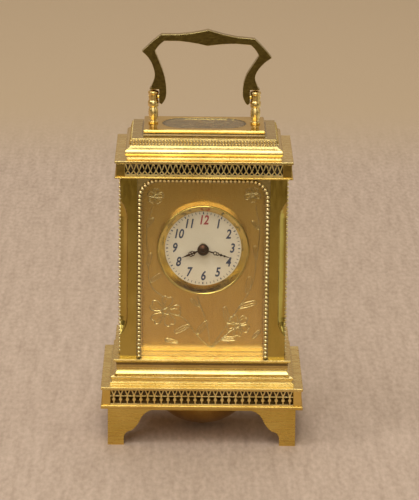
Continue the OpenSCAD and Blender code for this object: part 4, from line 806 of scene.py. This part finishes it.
ear = ear_leaf()
ears = []
for side, half_run, half_off in EAR_SIDES:
    count = int(2 * half_run / EAR_PITCH)
    for off, height, lean in EAR_ROWS:
        for k in range(count):
            along = (k - (count - 1) / 2) * 2 * half_run / count
            spot = Matrix.Rotation(math.radians(side), 3, "Z") @ Vector((along, -(half_off + off), height))
            ears.append(twin(ear, tuple(spot), (BAND_SLOPE, lean, side)))
bpy.data.objects.remove(ear)
joined(ears, "wheat_ear_band", ear_brass)

# %% [markdown]
# ## The handle
# The handle is cast, and its edges are filed off so that it is kind to the hand. Those filed slopes catch the
# light and are worn brighter, and their paler brass is also a painted highlight, while the flat front's dull
# brass is also darkened as painted shade. The ready-made solid has the outline with sharp edges, so a copy of it
# is merged, cleaned of needless edges and given wide bevels. Years of lifting have also bent it a little out of
# true, which a gentle push of its upper points copies, and its shoulders sit close over the posts. The ends stay
# where their pins hold them.

# %% File and bend the handle
# All in millimetres: the height of the pins, from which the other heights count, the width of the filed edges,
# and where the shoulders' upper edge lies, out from the middle and up.
PIVOT_Z, FILED_WIDTH, MERGED_WITHIN = 87.7, 0.55, 0.001
SHOULDER_OUT, SHOULDER_LOW, SHOULDER_HIGH, SHOULDER_LOWERED_BY = 11.3, 2.0, 3.1, 0.45
# The bend is a small turn that starts above the pins and grows over some height. It moves a point to the right
# in step with its height, and down in step with how far it is from a middle that shifts to the left, but by a
# little less than a true turn would.
BENT_BY = math.radians(2.6)
BEND_START, BEND_GROWTH, BEND_MIDDLE, BEND_DROP = 3.0, 8.0, 3.0, 0.9

handle_bar = nodes["handle"].copy()
handle_bar.data = nodes["handle"].data.copy()
handle_bar.parent = None
handle_bar.name = "filed_handle"
bpy.context.scene.collection.objects.link(handle_bar)
handle_bar.matrix_world = nodes["handle"].matrix_world.copy()
settle(handle_bar)
handle_bar.data.materials.clear()
bpy.ops.object.mode_set(mode="EDIT")
bpy.ops.mesh.select_all(action="SELECT")
bpy.ops.mesh.remove_doubles(threshold=mm(MERGED_WITHIN))
bpy.ops.mesh.dissolve_limited(angle_limit=math.radians(2))
bpy.ops.object.mode_set(mode="OBJECT")
filing = handle_bar.modifiers.new("filed_edges", "BEVEL")
filing.width = mm(FILED_WIDTH)
filing.segments = 1
filing.material = 1
filing.limit_method = "ANGLE"
filing.angle_limit = math.radians(50)
# The second, paler brass goes on the filed faces as wear and as a painted highlight; the first is darkened as
# painted shade.
for finish in (handle_brass, worn_and_highlit_brass):
    handle_bar.data.materials.append(finish)
bpy.ops.object.modifier_apply(modifier="filed_edges")

for point in handle_bar.data.vertices:
    rise = point.co.z - mm(PIVOT_Z)
    if abs(point.co.x) > mm(SHOULDER_OUT) and mm(SHOULDER_LOW) < rise < mm(SHOULDER_HIGH):
        point.co.z -= mm(SHOULDER_LOWERED_BY)
    share = min(max((rise - mm(BEND_START)) / mm(BEND_GROWTH), 0.0), 1.0)
    share = share * share * (3 - 2 * share)  # the growth starts and ends softly
    push = BENT_BY * share
    point.co.x += rise * push
    point.co.z -= (point.co.x + mm(BEND_MIDDLE) * share) * push * BEND_DROP
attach(handle_bar, "handle")
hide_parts("handle")
print("handle bevelled:", len(handle_bar.data.polygons), "faces")

# %% [markdown]
# ## The handle's posts
# Each post is turned on a lathe from one rod: a flange, a small vase, and a head whose waist takes the pin.
# A lathe makes circles one above the other, so the post starts as one round face, which is pushed up and
# widened or narrowed, ring by ring. Its finish takes the sharpness off the corners.

# %% Turn the two posts
POST_ACROSS, POST_SIDES = 13.0, 40
# Height and radius of each ring in millimetres, from the flange to the tip.
POST_RINGS = [
    (80.8, 1.2), (81.0, 1.28), (81.3, 1.28), (81.45, 0.95), (81.7, 0.92), (82.1, 1.05), (82.6, 1.18),
    (83.2, 1.26), (83.8, 1.26), (84.4, 1.18), (84.8, 1.02), (85.0, 0.96), (85.15, 1.28), (85.4, 1.37),
    (86.4, 1.37), (86.6, 1.27), (86.75, 1.16), (88.2, 1.16), (88.35, 1.27), (88.5, 1.36), (88.9, 1.36),
    (89.1, 1.22), (89.4, 0.7), (89.5, 0.2),
]


def turned_post(name, across):
    """One post, standing across the middle by some millimetres."""
    deselect()
    height, radius = POST_RINGS[0]
    bpy.ops.mesh.primitive_circle_add(vertices=POST_SIDES, radius=mm(radius), fill_type="NGON",
                                      location=mm(across, 0, height))
    post = bpy.context.object
    bpy.ops.object.mode_set(mode="EDIT")
    bpy.ops.mesh.select_all(action="SELECT")
    for next_height, next_radius in POST_RINGS[1:]:
        bpy.ops.mesh.extrude_region_move(TRANSFORM_OT_translate={"value": (0, 0, mm(next_height - height))})
        ratio = next_radius / radius
        bpy.ops.transform.resize(value=(ratio, ratio, 1), center_override=mm(across, 0, next_height))
        height, radius = next_height, next_radius
    bpy.ops.mesh.select_all(action="SELECT")
    bpy.ops.mesh.normals_make_consistent(inside=False)
    bpy.ops.object.mode_set(mode="OBJECT")
    settle(post)
    bpy.ops.object.shade_smooth_by_angle(angle=math.radians(35))
    post.name = name
    post.data.materials.append(post_brass)
    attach(post, "case")
    return post


for side, across in (("left", -POST_ACROSS), ("right", POST_ACROSS)):
    post = turned_post("turned_post_" + side, across)
    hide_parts("handle_post_" + side)
    top = max(v.co.z for v in post.data.vertices) * 1000
    print(post.name, "has", len(post.data.polygons), "faces, top at", round(top, 2), "mm")
